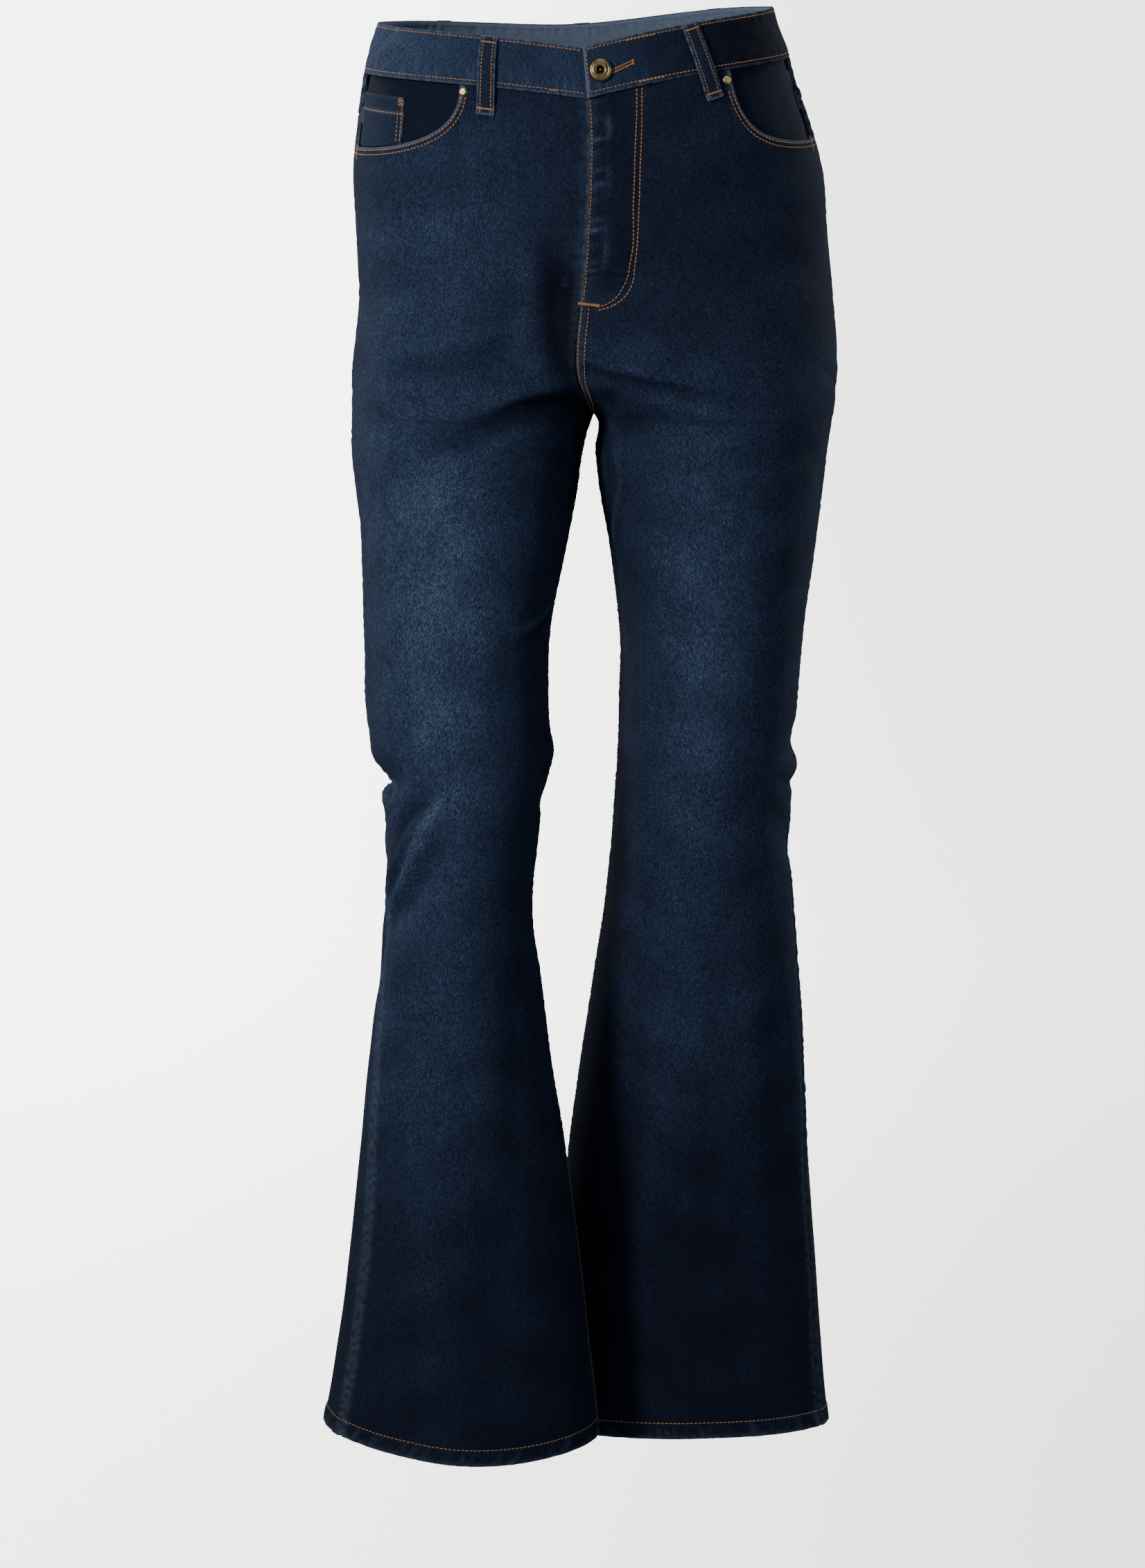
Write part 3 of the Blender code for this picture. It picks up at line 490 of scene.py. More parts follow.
# Creases, listed one by one. Each crosses a trough (or, with a positive depth, a ridge) between two low
# shoulders. bend curves it, in metres of drop for each square metre along it.
Crease = namedtuple("Crease", "angle z length width depth tilt bend")
CREASES = {
    -1: records(Crease, """
        -12 -0.286  0.04  0.006 -0.0016 -20  0   # beside the fly and at the crotch
         34 -0.244  0.04  0.006  -0.001  -6 -2
          4 -0.296 0.045  0.007 -0.0012  10  0
        -48 -0.308  0.03  0.006 -0.0018  20  0
        -62 -0.465  0.02 0.0045  -0.001 -30  0   # inner thigh
         66 -0.572 0.022  0.004 -0.0012  14  0   # knee
         44 -0.538 0.022  0.005 -0.0006  30  0
        -70 -0.548 0.018 0.0045 -0.0018  16  0
        -76  -0.57  0.02 0.0045 -0.0016  -6  0
        -20 -0.552  0.02  0.006 -0.0004   8  0
         58  -0.66  0.04  0.006 -0.0012 -66  0
         30   -0.7  0.06  0.011 -0.0007 -80  0
         -8  -0.86  0.12  0.016  -0.001  86  0
         20  -0.93  0.11  0.015   0.001  84  0
        -40   -0.9  0.12  0.015   0.001 -86  0
         66 -0.118  0.03  0.007 -0.0006  18  0   # hip
         40  -0.15  0.05  0.009 -0.0005  -4  0
         72   -0.2  0.04  0.008 -0.0007  24  0
        170 -0.278  0.06 0.0075 -0.0032  -9  3   # seat
        184   -0.3  0.05 0.0065 -0.0026   5 -2
        160 -0.312 0.055  0.008 -0.0018 -14  2
        200  -0.29  0.03 0.0055  -0.002  22  0
        140 -0.296 0.045  0.007 -0.0014  16  0
        128  -0.33  0.05  0.009 -0.0012  28  0
        214 -0.333 0.035  0.006 -0.0016 -18  0
        168 -0.075  0.03  0.005 -0.0007  20  0
        120  -0.07  0.04  0.007 -0.0006 -12  0
        176  -0.53  0.05  0.006  -0.003   5  2   # back of the knee
        190 -0.562 0.046 0.0055 -0.0032  -8 -2
        166  -0.59  0.05  0.006 -0.0026  11  1
        206 -0.605  0.04  0.006  -0.002 -14  0
        150  -0.55  0.04  0.006  -0.002  18  0
        134 -0.576 0.036 0.0055  -0.002 -16  0
        180  -0.63 0.048  0.008 -0.0014   3  0
        122  -0.62  0.04  0.008 -0.0014 -34  0
        192  -0.69  0.06  0.011  -0.001 -64  0
        170   -0.9  0.12  0.015  -0.001  88  0
        206  -0.94   0.1  0.013  0.0011 -86  0
    """),
    1: records(Crease, """
        -30 -0.262  0.03  0.005 -0.0026  12  0
         14 -0.262  0.04 0.0065 -0.0008  -6  0
        -40 -0.286  0.03 0.0055  -0.002  28  0
         -6  -0.28  0.05  0.008  -0.001 -16  0
         30 -0.224  0.04  0.007 -0.0006  12  0
        -66  -0.42  0.06  0.004  0.0006  86  0
         60  -0.12  0.04  0.008 -0.0006 -20  0
         70  -0.17  0.04  0.009 -0.0007 -26  0
         78 -0.256 0.032  0.006 -0.0012 -24  0
         64  -0.32  0.04  0.007 -0.0007 -34  0
         76 -0.538 0.026 0.0045 -0.0014   6  0   # knee
         80 -0.564 0.028 0.0045 -0.0016  -8  0
         62  -0.59 0.036  0.006  -0.001 -32  0
        -72  -0.55 0.024  0.005  -0.001  12  0
        -40   -0.6 0.034  0.007 -0.0005  30  0
         30  -0.65  0.05   0.01 -0.0005 -60  0
         10  -0.86  0.12  0.016  -0.001  88  0
        -30  -0.91  0.11  0.015   0.001  86  0
         48  -0.93   0.1  0.014   0.001 -86  0
        172 -0.276  0.06  0.007  -0.003   8 -3   # seat
        186 -0.298 0.045 0.0065 -0.0026  -6  2
        158 -0.306 0.055  0.008  -0.002  12  0
        204 -0.288  0.03 0.0055  -0.002 -20  0
        138  -0.29 0.045  0.007 -0.0014 -16  0
        126  -0.34 0.045  0.009 -0.0012 -28  0
        212  -0.34 0.035  0.006 -0.0014  20  0
        150 -0.076 0.034 0.0055 -0.0007 -18  0
        178 -0.545 0.048  0.006 -0.0026  -5  2   # back of the knee
        168 -0.576 0.046  0.006 -0.0028   8 -2
        194   -0.6 0.044  0.006 -0.0022 -10  0
        150 -0.605  0.04  0.007 -0.0016  22  0
        140  -0.55 0.036  0.006 -0.0016 -16  0
        210  -0.56 0.036  0.006 -0.0014  16  0
        176  -0.64 0.048  0.008 -0.0012   4  0
        160   -0.9  0.12  0.015  -0.001 -88  0
        196  -0.94   0.1  0.013  0.0011  86  0
    """),
}
CREASE_FADE = 7.0        # degrees from a centre seam
FURROW_STEPS = 90

Furrow = namedtuple("Furrow", "left right depth line")


def furrows(text):
    """Rows of left, right and depth, and after a colon the line's points, as level and degrees."""
    made = []
    for row in text.replace(",\n", ",").splitlines():
        form, colon, line = row.partition(":")
        if colon and not row.strip().startswith("#"):
            points = [tuple(map(float, point.split())) for point in line.split(",")]
            made.append(Furrow(*map(float, form.split()), points))
    return made


# The main folds, each along its own line. The line's left and right sides have their own widths,
# and a negative depth is a hollow.
FURROWS = {
    -1: furrows("""
        # the hollow from beside the fly down to the crotch, and the one under it
        0.0082 0.015 -0.0078: -0.146 15, -0.166 10.5, -0.187 4.5, -0.2035 -1, -0.2215 -11.5,
            -0.235 -22, -0.25 -36
        0.01 0.0058 -0.005: -0.29 2, -0.279 -6, -0.27 -14, -0.266 -24, -0.265 -38, -0.27 -52
        0.01 0.006 -0.0018: -0.242 48, -0.235 36, -0.23 26, -0.2262 12
        0.011 0.008 -0.0012: -0.296 30, -0.29 14, -0.288 -2
        # inner thigh
        0.0055 0.003 0.0026: -0.435 -30, -0.4345 -38, -0.43 -49, -0.421 -64, -0.414 -80
        0.0045 0.0035 -0.0024: -0.441 -38, -0.4365 -52, -0.4285 -65, -0.422 -76
        # knee: the long ridge, the hollow outside it and the tuck at the side
        0.0034 0.0072 0.0042: -0.554 12, -0.5635 16, -0.5695 18.5, -0.583 24, -0.6025 32.5,
            -0.619 41.5, -0.6355 53, -0.652 66
        0.0085 0.007 -0.0044: -0.548 18, -0.5605 26, -0.571 35, -0.5845 42, -0.5995 50, -0.615 59
        0.0024 0.0024 0.0034: -0.543 80, -0.5515 64, -0.5545 53, -0.559 50, -0.565 56, -0.571 66
        0.0035 0.0035 -0.0036: -0.557 84, -0.56 70, -0.5625 60
        0.0075 0.0045 0.0066: -0.564 70, -0.5635 140
        0.006 0.01 -0.0058: -0.576 66, -0.5755 134
        0.005 0.0035 -0.0022: -0.53 -62, -0.542 -72, -0.548 -88
        # below the knee
        0.016 0.02 -0.0022: -0.67 -30, -0.74 -38, -0.82 -34, -0.92 -28
    """),
    1: furrows("""
        0.004 0.0085 -0.0036: -0.237 -28, -0.241 -20.5, -0.2455 -15, -0.249 -8, -0.253 2, -0.257 12
        0.0032 0.0036 0.0024: -0.262 -60, -0.283 -54.5, -0.3115 -49, -0.33 -48.5, -0.352 -57,
            -0.3775 -68, -0.41 -76
        0.0036 0.003 -0.002: -0.283 -65, -0.3115 -60, -0.34 -62, -0.3775 -78
        0.009 0.007 -0.001: -0.226 26, -0.236 12, -0.242 -2
        0.016 0.012 -0.0016: -0.66 60, -0.73 52, -0.82 54, -0.92 60
        0.015 0.015 -0.0014: -0.7 -44, -0.8 -40, -0.92 -44
    """),
}

# Small wrinkles in the waistband, by turn and level.
BAND_CREASES = records(Crease, """
     -56 0.006 0.016  0.003  -0.001  40 0
     -66 0.001 0.018  0.003 -0.0011  30 0
     -74 0.008 0.014 0.0028 -0.0009  52 0
     -44 0.002 0.016 0.0032 -0.0008 -34 0
     -84 0.002 0.016  0.003 -0.0009  36 0
     -30 0.004 0.014 0.0034 -0.0006 -36 0
     -16 0.008 0.018 0.0034 -0.0005  26 0
      36 0.006 0.016 0.0034 -0.0005  30 0
      60 0.002  0.02 0.0036 -0.0006 -28 0
      78 0.006 0.016 0.0032 -0.0005 -40 0
    -150 0.004 0.018 0.0036 -0.0006  24 0
     150 0.002 0.018 0.0034 -0.0006 -30 0
     110 0.006 0.016 0.0034 -0.0006  34 0
    -104 0.002 0.018 0.0034 -0.0006  32 0
""")

# The fly's curved double row: level, and degrees round the wearer's left of the centre front.
FLY_OUTER = ((-0.0190, 19.6), (-0.0600, 17.1), (-0.0964, 16.5), (-0.1462, 16.2), (-0.1593, 14.6),
             (-0.1688, 11.6), (-0.1770, 7.8), (-0.1825, 3.2))
FLY_INNER = ((-0.0190, 21.6), (-0.0244, 21.2), (-0.0730, 18.8), (-0.1208, 18.4), (-0.1500, 17.7),
             (-0.1620, 16.4), (-0.1720, 13.5), (-0.1800, 9.2), (-0.1858, 3.6))
FLY_FOOT = -0.1850       # where the rows end and the felled seam begins
HEM_STITCH = 0.0135      # above the hem's edge
FELL = 0.0072            # a felled seam's width
SIDE_FELL = 0.0100


def bump(x):
    return np.exp(-x * x)


def profile(t, shoulder):
    """Across a crease: its depth, and a low shoulder to each side."""
    return np.exp(-t ** 1.7) - shoulder * bump((t - 2.1) / 0.95)


def cross_crease(crease, around_m, rise):
    along, across = tilted(around_m, rise, crease.tilt)
    across = across + crease.bend * along * along
    return crease.depth * profile(np.abs(across) / crease.width, 0.32) * bump(along / crease.length)


def crease_relief(side, angle, z):
    total = np.zeros(np.broadcast(angle, z).shape)
    for crease in CREASES[side]:
        reach = HALVES[side].at("outer", np.array(crease.z))
        turn = wrap(angle - math.radians(crease.angle))
        total += cross_crease(crease, turn * reach, z - crease.z)
    return total


def smooth_line(points, count):
    """A smooth line through a few points of (level, degrees)."""
    points = np.array(points, float)
    chord = np.linalg.norm(np.diff(points * np.array([1.0, 0.0017]), axis=0), axis=1)
    knots = np.concatenate([[0], np.cumsum(chord)])
    return read_smoothly(knots, points, np.linspace(0, knots[-1], count))


def furrow_relief(side, angle, z):
    total = np.zeros(np.broadcast(angle, z).shape)
    angle, z = np.broadcast_arrays(angle, z)
    for furrow in FURROWS[side]:
        line = smooth_line(furrow.line, FURROW_STEPS)
        middle = math.radians(line[:, 1].mean())
        ends = place(side, middle + np.array([-0.01, 0.01]), np.full(2, line[:, 0].mean()))
        reach = np.linalg.norm(ends[1] - ends[0]) / 0.02
        line_x = (np.radians(line[:, 1]) - middle) * reach
        line_z = line[:, 0]
        margin = 3.6 * max(furrow.left, furrow.right)
        x = wrap(angle - middle) * reach
        near = (x > line_x.min() - margin) & (x < line_x.max() + margin)
        near &= (z > line_z.min() - margin) & (z < line_z.max() + margin)
        if not near.any():
            continue
        away_x = x[near][:, None] - line_x[None, :]
        away_z = z[near][:, None] - line_z[None, :]
        nearest = np.argmin(away_x ** 2 + away_z ** 2, axis=1)
        rows = np.arange(len(nearest))
        away_x, away_z = away_x[rows, nearest], away_z[rows, nearest]
        turned = np.gradient(line_x)[nearest] * away_z - np.gradient(line_z)[nearest] * away_x
        width = np.where(turned > 0, furrow.left, furrow.right)
        t = np.hypot(away_x, away_z) / width
        taper = np.sin(math.pi * (nearest + 0.5) / FURROW_STEPS) ** 0.7
        total[near] += furrow.depth * taper * profile(t, 0.28)
    return total


def ripple(v, length, seed):
    """An uneven wave along a seam, from -1 to 1."""
    wander = 1.9 * np.sin(v / length * 1.31 + seed) + 1.3 * np.sin(v / length * 0.53 + 2.3 * seed)
    swell = 0.6 + 0.4 * np.sin(v / length * 1.73 + 1.7 * seed)
    return np.sin(2 * math.pi * v / length + wander) * swell


def uneven(side, angle, z):
    """Low waves that keep the cloth from lying perfectly smooth."""
    total = 0.00035 * np.sin(3 * angle + 21 * z + side) * np.sin(34 * z + 2 * side)
    total += 0.00022 * np.sin(7 * angle - 31 * z) * np.sin(57 * z + side)
    total += 0.00016 * np.sin(13 * angle + 12 * z + 2 * side) * np.sin(23 * z)
    total += 0.00008 * np.sin(29 * angle + 9 * z) * np.sin(71 * z + 4 * angle)
    return total


def seam_profile(distance, v, seed, ridge=0.0005, puckers=0.00030):
    """A seam's groove, with a ridge and puckers to each side."""
    near = np.abs(distance)
    groove = -0.0009 * bump(near / 0.0009)
    raised = ridge * bump((near - 0.0034) / 0.0026)
    return groove + raised + puckers * ripple(v, 0.0085, seed) * bump((near - 0.003) / 0.006)


def table_angle(rows, level):
    """Angles read straight from a short table of (level, degrees)."""
    levels, degrees = np.array(rows)[::-1].T
    return np.radians(np.interp(level, levels, degrees))


def lower_leg(level):
    return smooth_step(*LOWER_LEG, level)


def hem_rope(side, angle, height):
    """The slanting waves that twist a turned hem."""
    return ripple(angle * HEM_PACE + height * 0.45, 0.0125, 2.0 + side)


def relief(side, angle, level, pace):
    """How far the finished cloth stands off the solid's face. pace is metres a radian."""
    z = level + rise_and_fall(side, angle, level)
    front, back = cut_angles(side, z)
    above = z >= CROTCH
    near = np.minimum(angle - front, back - angle) / math.radians(CREASE_FADE)
    free = np.where(above, smooth_step(0, 1, near), 1.0)
    folds = crease_relief(side, angle, z) + furrow_relief(side, angle, z)
    total = (folds + uneven(side, angle, z)) * free
    lower = lower_leg(level)
    from_side = (angle - side_seam(side, level)) * pace
    total += seam_profile(from_side, level, 1.3 + side, puckers=0.00016 + 0.00020 * lower)
    behind = smooth_step(0, 0.0008, from_side) * smooth_step(SIDE_FELL + 0.002, SIDE_FELL, from_side)
    total += (0.0004 + 0.0004 * lower) * behind * (1 + 0.6 * ripple(level, 0.0098, 3.1 + side))
    from_inseam = wrap(angle + math.pi / 2) * pace
    under = smooth_step(CROTCH + 0.004, CROTCH - 0.006, z)
    total += under * seam_profile(from_inseam, level, 4.1 + side, ridge=0.0006)
    middle = front_middle(side, angle, level, (angle - front) * pace, pace)
    total += np.where(above & (angle < math.pi / 2), middle, 0.0)
    middle = back_middle(side, level, (back - angle) * pace)
    total += np.where(above & (angle > math.pi / 2), middle, 0.0)
    from_yoke = level - yoke_line(np.clip(angle, math.pi / 2, math.pi))
    on_back = smooth_step(math.radians(86), math.radians(89), angle) * (angle < 1.2 * math.pi)
    total += on_back * yoke_relief(side, angle, from_yoke)
    if np.any(level > SCOOP_LOW):
        total += np.where(angle < side_seam(side, level), scoop_relief(side, angle, level), 0.0)
    return total + hem_relief(side, angle, level - HEM)


def hem_relief(side, angle, height):
    """The turned hem under its row of stitches, roped."""
    hem = 0.0007 * smooth_step(HEM_STITCH + 0.0008, HEM_STITCH - 0.0012, height)
    hem -= 0.0005 * bump((height - HEM_STITCH) / 0.0009)
    return hem + 0.00055 * hem_rope(side, angle, height) * bump((height - 0.006) / 0.007)


def felled(distance, level, row, puckers, seed):
    """A felled seam's raised strip, with its two rows of stitches sunk in."""
    fell = 0.0007 * smooth_step(FELL + 0.0014, FELL, distance)
    fell -= 0.0004 * (bump((distance - row) / 0.0007) + bump((distance - FELL + 0.0008) / 0.0007))
    return fell + puckers * ripple(level, 0.0088, seed) * bump((distance - 0.0036) / 0.004)


def front_middle(side, angle, level, distance, pace):
    """The fly and the felled seam under it: the wearer's left lies over the right."""
    fly = smooth_step(FLY_END - 0.020, FLY_END - 0.014, level)
    if side < 0:
        tucked = -0.0007 * bump(distance / 0.0035) * fly
        seam = seam_profile(distance, level, 0.7, ridge=0.0001, puckers=0.00020)
        return tucked + seam * (1 - fly)
    width = table_angle(FLY_OUTER, level) * pace
    facing = 0.0006 * smooth_step(width + 0.0018, width - 0.0010, angle * pace)
    edge = 0.0008 * bump(distance / 0.0022) - 0.0006 * smooth_step(0.0009, 0.0, distance)
    zip_ridge = 0.0017 * bump((distance - 0.0155) / 0.0028) * (0.7 + 0.4 * ripple(level, 0.047, 1.1))
    puckers = 0.00080 * ripple(level, 0.0094, 2.2) * bump((distance - 0.005) / 0.0045)
    beside = (angle * pace - width) / 0.004
    puckers += 0.00050 * ripple(level, 0.0105, 5.2) * bump(beside)
    across = 0.00100 * ripple(level + 0.3 * distance, 0.031, 4.2)
    across *= smooth_step(width, 0.004, distance)
    stitched = -0.0004 * bump((distance - 0.0020) / 0.0008)
    fly_form = facing + edge + zip_ridge + puckers + across + stitched
    return fly_form * fly + felled(distance, level, 0.0010, 0.00030, 3.7) * (1 - fly)


def back_middle(side, level, distance):
    """The felled centre back seam, lapped the same way."""
    if side < 0:
        return -0.0004 * bump(distance / 0.0012)
    return felled(distance, level, 0.0012, 0.00028, 6.1)


def yoke_relief(side, angle, rise):
    """The yoke laps over the back panel along their slanted seam."""
    over = smooth_step(-0.0002, 0.0006, rise) * smooth_step(FELL + 0.0016, FELL, rise)
    fell = 0.0007 * over - 0.0004 * bump(rise / 0.0007)
    fell -= 0.0003 * (bump((rise - 0.0014) / 0.0007) + bump((rise - FELL + 0.0008) / 0.0007))
    waves = 0.00026 * ripple(angle * YOKE_PACE, 0.0090, 1.9 + side)
    return fell + waves * bump((rise - 0.003) / 0.005)


def cloth(side, angle, level, lift=0.0):
    """Points of the finished cloth's outer face, moved out by lift."""
    angle, level = np.broadcast_arrays(np.asarray(angle, float), np.asarray(level, float))
    normal, pace, _ = slopes_at(side, angle, level)
    height = relief(side, angle, level, pace) + lift
    return place(side, angle, level) + normal * height[..., None]


def band_relief(turn, level):
    """The waistband's puckers along its two rows of stitches, and its few wrinkles."""
    v = turn * BAND_RADIUS
    top = level - (WAIST_TOP - 0.0027)
    bottom = level - (WAIST_SEAM + 0.0040)
    total = 0.00032 * ripple(v, 0.0092, 1.0) * bump((top + 0.003) / 0.004)
    total += 0.00036 * ripple(v, 0.0104, 2.7) * bump((bottom - 0.003) / 0.0045)
    total -= 0.0004 * (bump(top / 0.0009) + bump(bottom / 0.0009))
    total += 0.00022 * np.sin(v * 95 + 40 * level) * np.sin(v * 31 - 60 * level)
    for crease in BAND_CREASES:
        away = wrap(turn - math.radians(crease.angle)) * BAND_RADIUS
        total += cross_crease(crease, away, level - crease.z)
    return total


def band(turn, level, lift=0.0):
    """Points of the finished waistband's outer face. turn falls from LAP_UNDER to a full turn."""
    turn, level = np.broadcast_arrays(np.asarray(turn, float), np.asarray(level, float))
    return around(turn, level, band_lift(turn) + band_relief(turn, level) + lift)


# ---------------------------------------------------------------- colour by place

Wash = namedtuple("Wash", "side angle z wide high amount")
WASHES = records(Wash, """
    -1   6  -0.4 36 0.15  0.25
    -1   6  -0.6 36 0.14   0.1
    -1  60 -0.42 50 0.28  0.12
    -1  52 -0.13 46 0.09  0.13
    -1  64 -0.28 46 0.12  0.08
    -1  22  -0.8 60 0.16  0.13
     1  -6 -0.41 34 0.16  0.23
     1  -8  -0.6 36 0.15   0.1
     1  20 -0.26 60 0.08  0.06
     1  84  -0.5 40  0.5  0.12
     1   0 -0.79 50 0.14  0.09
     1  50 -0.12 60 0.12 -0.05
    -1   4 -0.14 26 0.11 -0.07
     1   0 -0.95 70 0.16 -0.05
    -1 168 -0.18 34 0.09   0.2
     1 168 -0.18 34 0.09   0.2
    -1 176 -0.42 36 0.15  0.18
     1 176 -0.42 36 0.15  0.18
    -1 180 -0.65 36 0.12  0.14
     1 180 -0.65 36 0.12  0.14
""")
BASE_FADE = 0.30
FACING_FADE = 0.25
COIN_FADE = 0.42
LOOP_FADE = 0.34
PLAIN_FADE = 0.20        # where no fading shows


def fade_at(side, angle, level):
    total = np.full(np.broadcast(angle, level).shape, BASE_FADE)
    for wash in WASHES:
        if wash.side == side:
            away = wrap(angle - math.radians(wash.angle)) / math.radians(wash.wide)
            total = total + wash.amount * bump(away) * bump((level - wash.z) / wash.high)
    low = smooth_step(-0.74, -0.92, level)
    side_dark = 0.04 * smooth_step(math.radians(60), math.radians(88), np.abs(wrap(angle)))
    bands = 0.035 * np.sin(level * 95 + 2 * np.sin(angle * 2 + side))
    bands = bands * np.sin(angle * 2.5 + level * 9)
    return np.clip(total + bands - 0.10 * low - side_dark, 0, 1)


def edge_at(distance, v, width=0.0016, seed=0.0):
    """Wear along an edge or a seam, where the puckers rub."""
    rubbed = 0.55 + 0.45 * ripple(v, 0.0095, 1.3 + seed)
    return bump(distance / width) * np.clip(rubbed, 0, 1)


# ---------------------------------------------------------------- meshes

def mesh_piece(name, points, faces, materials, index=None, attributes=None, sharp=50):
    mesh = bpy.data.meshes.new(name)
    mesh.from_pydata(points.tolist(), [], faces)
    for material in materials:
        mesh.materials.append(material)
    if index is not None:
        mesh.polygons.foreach_set("material_index", index)
    for label, values in (attributes or {}).items():
        kind, part = ("FLOAT_VECTOR", "vector") if values.ndim == 2 else ("FLOAT", "value")
        made = mesh.attributes.new(label, kind, "POINT")
        made.data.foreach_set(part, values.astype(np.float32).ravel())
    shape = bmesh.new()
    shape.from_mesh(mesh)
    bmesh.ops.recalc_face_normals(shape, faces=shape.faces)
    shape.to_mesh(mesh)
    shape.free()
    mesh.shade_smooth()
    mesh.set_sharp_from_angle(angle=math.radians(sharp))
    return in_scene(name, mesh)


def in_scene(name, data):
    made = bpy.data.objects.new(name, data)
    bpy.context.scene.collection.objects.link(made)
    return made


def quads(index, flip=False):
    """Faces between the points of a grid, which is given by their numbers."""
    made = np.stack([index[:-1, :-1], index[1:, :-1], index[1:, 1:], index[:-1, 1:]], axis=-1)
    made = made.reshape(-1, 4)
    return made[:, ::-1] if flip else made


def rim_faces(rows, columns):
    rim = list(range(columns))
    rim += [i * columns + columns - 1 for i in range(1, rows)]
    rim += [(rows - 1) * columns + j for j in reversed(range(columns - 1))]
    rim += [i * columns for i in reversed(range(1, rows - 1))]
    under = rows * columns
    return [(a, b, under + b, under + a) for a, b in zip(rim, rim[1:] + rim[:1])]


def shell(name, outer, inner, materials, fade, edge, cloth_at):
    """A thin closed shell of cloth: its face, its paler back and the cut edge between them."""
    rows, columns = outer.shape[:2]
    index = np.arange(rows * columns).reshape(rows, columns)
    face = quads(index).tolist()
    back = quads(index + rows * columns, flip=True).tolist()
    rim = rim_faces(rows, columns)
    attributes = {
        "fade": np.tile(np.broadcast_to(fade, (rows, columns)).ravel(), 2),
        "edge": np.tile(np.broadcast_to(np.clip(edge, 0, 1), (rows, columns)).ravel(), 2),
        "cloth": np.tile(cloth_at.reshape(-1, 3), (2, 1)),
    }
    points = np.concatenate([outer.reshape(-1, 3), inner.reshape(-1, 3)])
    index = np.repeat([0, 1, 0], [len(face), len(back), len(rim)]).astype(np.int32)
    return mesh_piece(name, points, face + back + rim, materials, index, attributes)


def run_along(points, axis=0):
    """How far each point lies from the first, along one axis of a grid of points."""
    run = np.cumsum(np.linalg.norm(np.diff(points, axis=axis), axis=-1), axis=axis)
    return np.concatenate([np.zeros_like(run.take([0], axis)), run], axis=axis)


def grain(outer, level, seed=0.0):
    """The weave's own coordinates in metres: across the piece from its middle, and down it."""
    across = run_along(outer, 1)
    across -= across[:, across.shape[1] // 2][:, None]
    return np.stack([across, level, np.full_like(level, seed)], axis=-1)


def edge_distance(outer):
    """How far each point lies from the piece's two sides."""
    across = run_along(outer, 1)
    return np.minimum(across, across[:, -1:] - across)


def crowded(count, gather=0.6):
    """Shares from 0 to 1, closer together at both ends."""
    t = np.linspace(0, 1, count + 1)
    return t - gather * np.sin(2 * math.pi * t) / (2 * math.pi)


def fine_columns(first, last, shares):
    return first[:, None] + (last - first)[:, None] * shares[None, :]


def settle(lines, columns_at):
    """Angles and levels over a piece, for lines that depend on the angle."""
    count = columns_at(np.zeros(1)).shape[-1]
    level = np.array([line(np.full(count, math.pi / 2)) for line in lines])
    for _ in range(6):
        angle = np.stack([columns_at(level[:, k])[:, k] for k in range(count)], axis=1)
        level = np.array([line(angle[i]) for i, line in enumerate(lines)])
    return angle, level


def wall_at(level):
    return np.where(level < HEM + HEM_HEIGHT + SEAM_GAP, HEM_WALL - 0.0006, WALL)


LEG_STEP = 0.0034
HEM_LINES_FROM = 0.018
HEM_LINES = (0.0162, 0.0152, 0.0149, 0.0141, 0.0136, 0.0130, 0.0122, 0.0108, 0.0090, 0.0068, 0.0046,
             0.0026, 0.0012, 0.0004, 0.0)


def fine_leg_lines(top):
    """Levels down a leg, close together at the hem. One of them is the crotch's."""
    levels = np.linspace(top, HEM + HEM_LINES_FROM, int((top - HEM - HEM_LINES_FROM) / LEG_STEP))
    levels = np.concatenate([levels, HEM + np.array(HEM_LINES)])
    levels[np.argmin(np.abs(levels - CROTCH))] = CROTCH
    return levels


def leg_panel(side, angle, level, seed):
    """A leg panel's two faces, and its fading, wear and painted shade, which follow its folds and
    seams.
    """
    rounding = np.where(level < HEM + 0.0003, 0.0008, 0.0)
    outer = cloth(side, angle, level, -rounding)
    inner = cloth(side, angle, level, -wall_at(level) + rounding)
    distance = edge_distance(outer)
    wear = 0.8 * edge_at(distance, level, 0.0014, seed)
    wear += (0.16 + 0.16 * lower_leg(level)) * edge_at(distance - 0.0034, level, 0.0030, seed + 2)
    height = level - HEM
    hem = 0.34 * edge_at(height - 0.0010, angle * HEM_PACE, 0.0022, seed)
    hem += 0.16 * bump((height - 0.006) / 0.006) * np.clip(hem_rope(side, angle, height), 0, 1)
    fade = fade_at(side, angle, level) - 0.14 * bump(distance / 0.0010)
    z = level + rise_and_fall(side, angle, level)
    # Fold and crease ridges are paler, as rubbed wear; their hollows are darker, which is painted
    # shade.
    fade += np.clip(furrow_relief(side, angle, z) * 46, -0.24, 0.19)
    fade += np.clip(crease_relief(side, angle, z) * 36, -0.09, 0.08)
    return outer, inner, fade, wear + hem


def scoop_curve(side, steps):
    """Points down a pocket's scoop, for steps from 0 to 90 degrees."""
    scoop = SCOOPS[side]
    share = np.radians(steps)
    seam = side_seam(side, np.array(WAIST_SEAM - scoop.depth)) - half_gap(side, np.array(WAIST_SEAM))
    top = math.radians(scoop.top)
    angle = top + (seam - top) * (1 - np.cos(share).clip(0) ** (2 / scoop.power))
    return angle, WAIST_SEAM - scoop.depth * np.sin(share) ** (2 / scoop.power)


SCOOP_CURVES = {side: scoop_curve(side, np.linspace(0, 90, 260)) for side in SIDES}


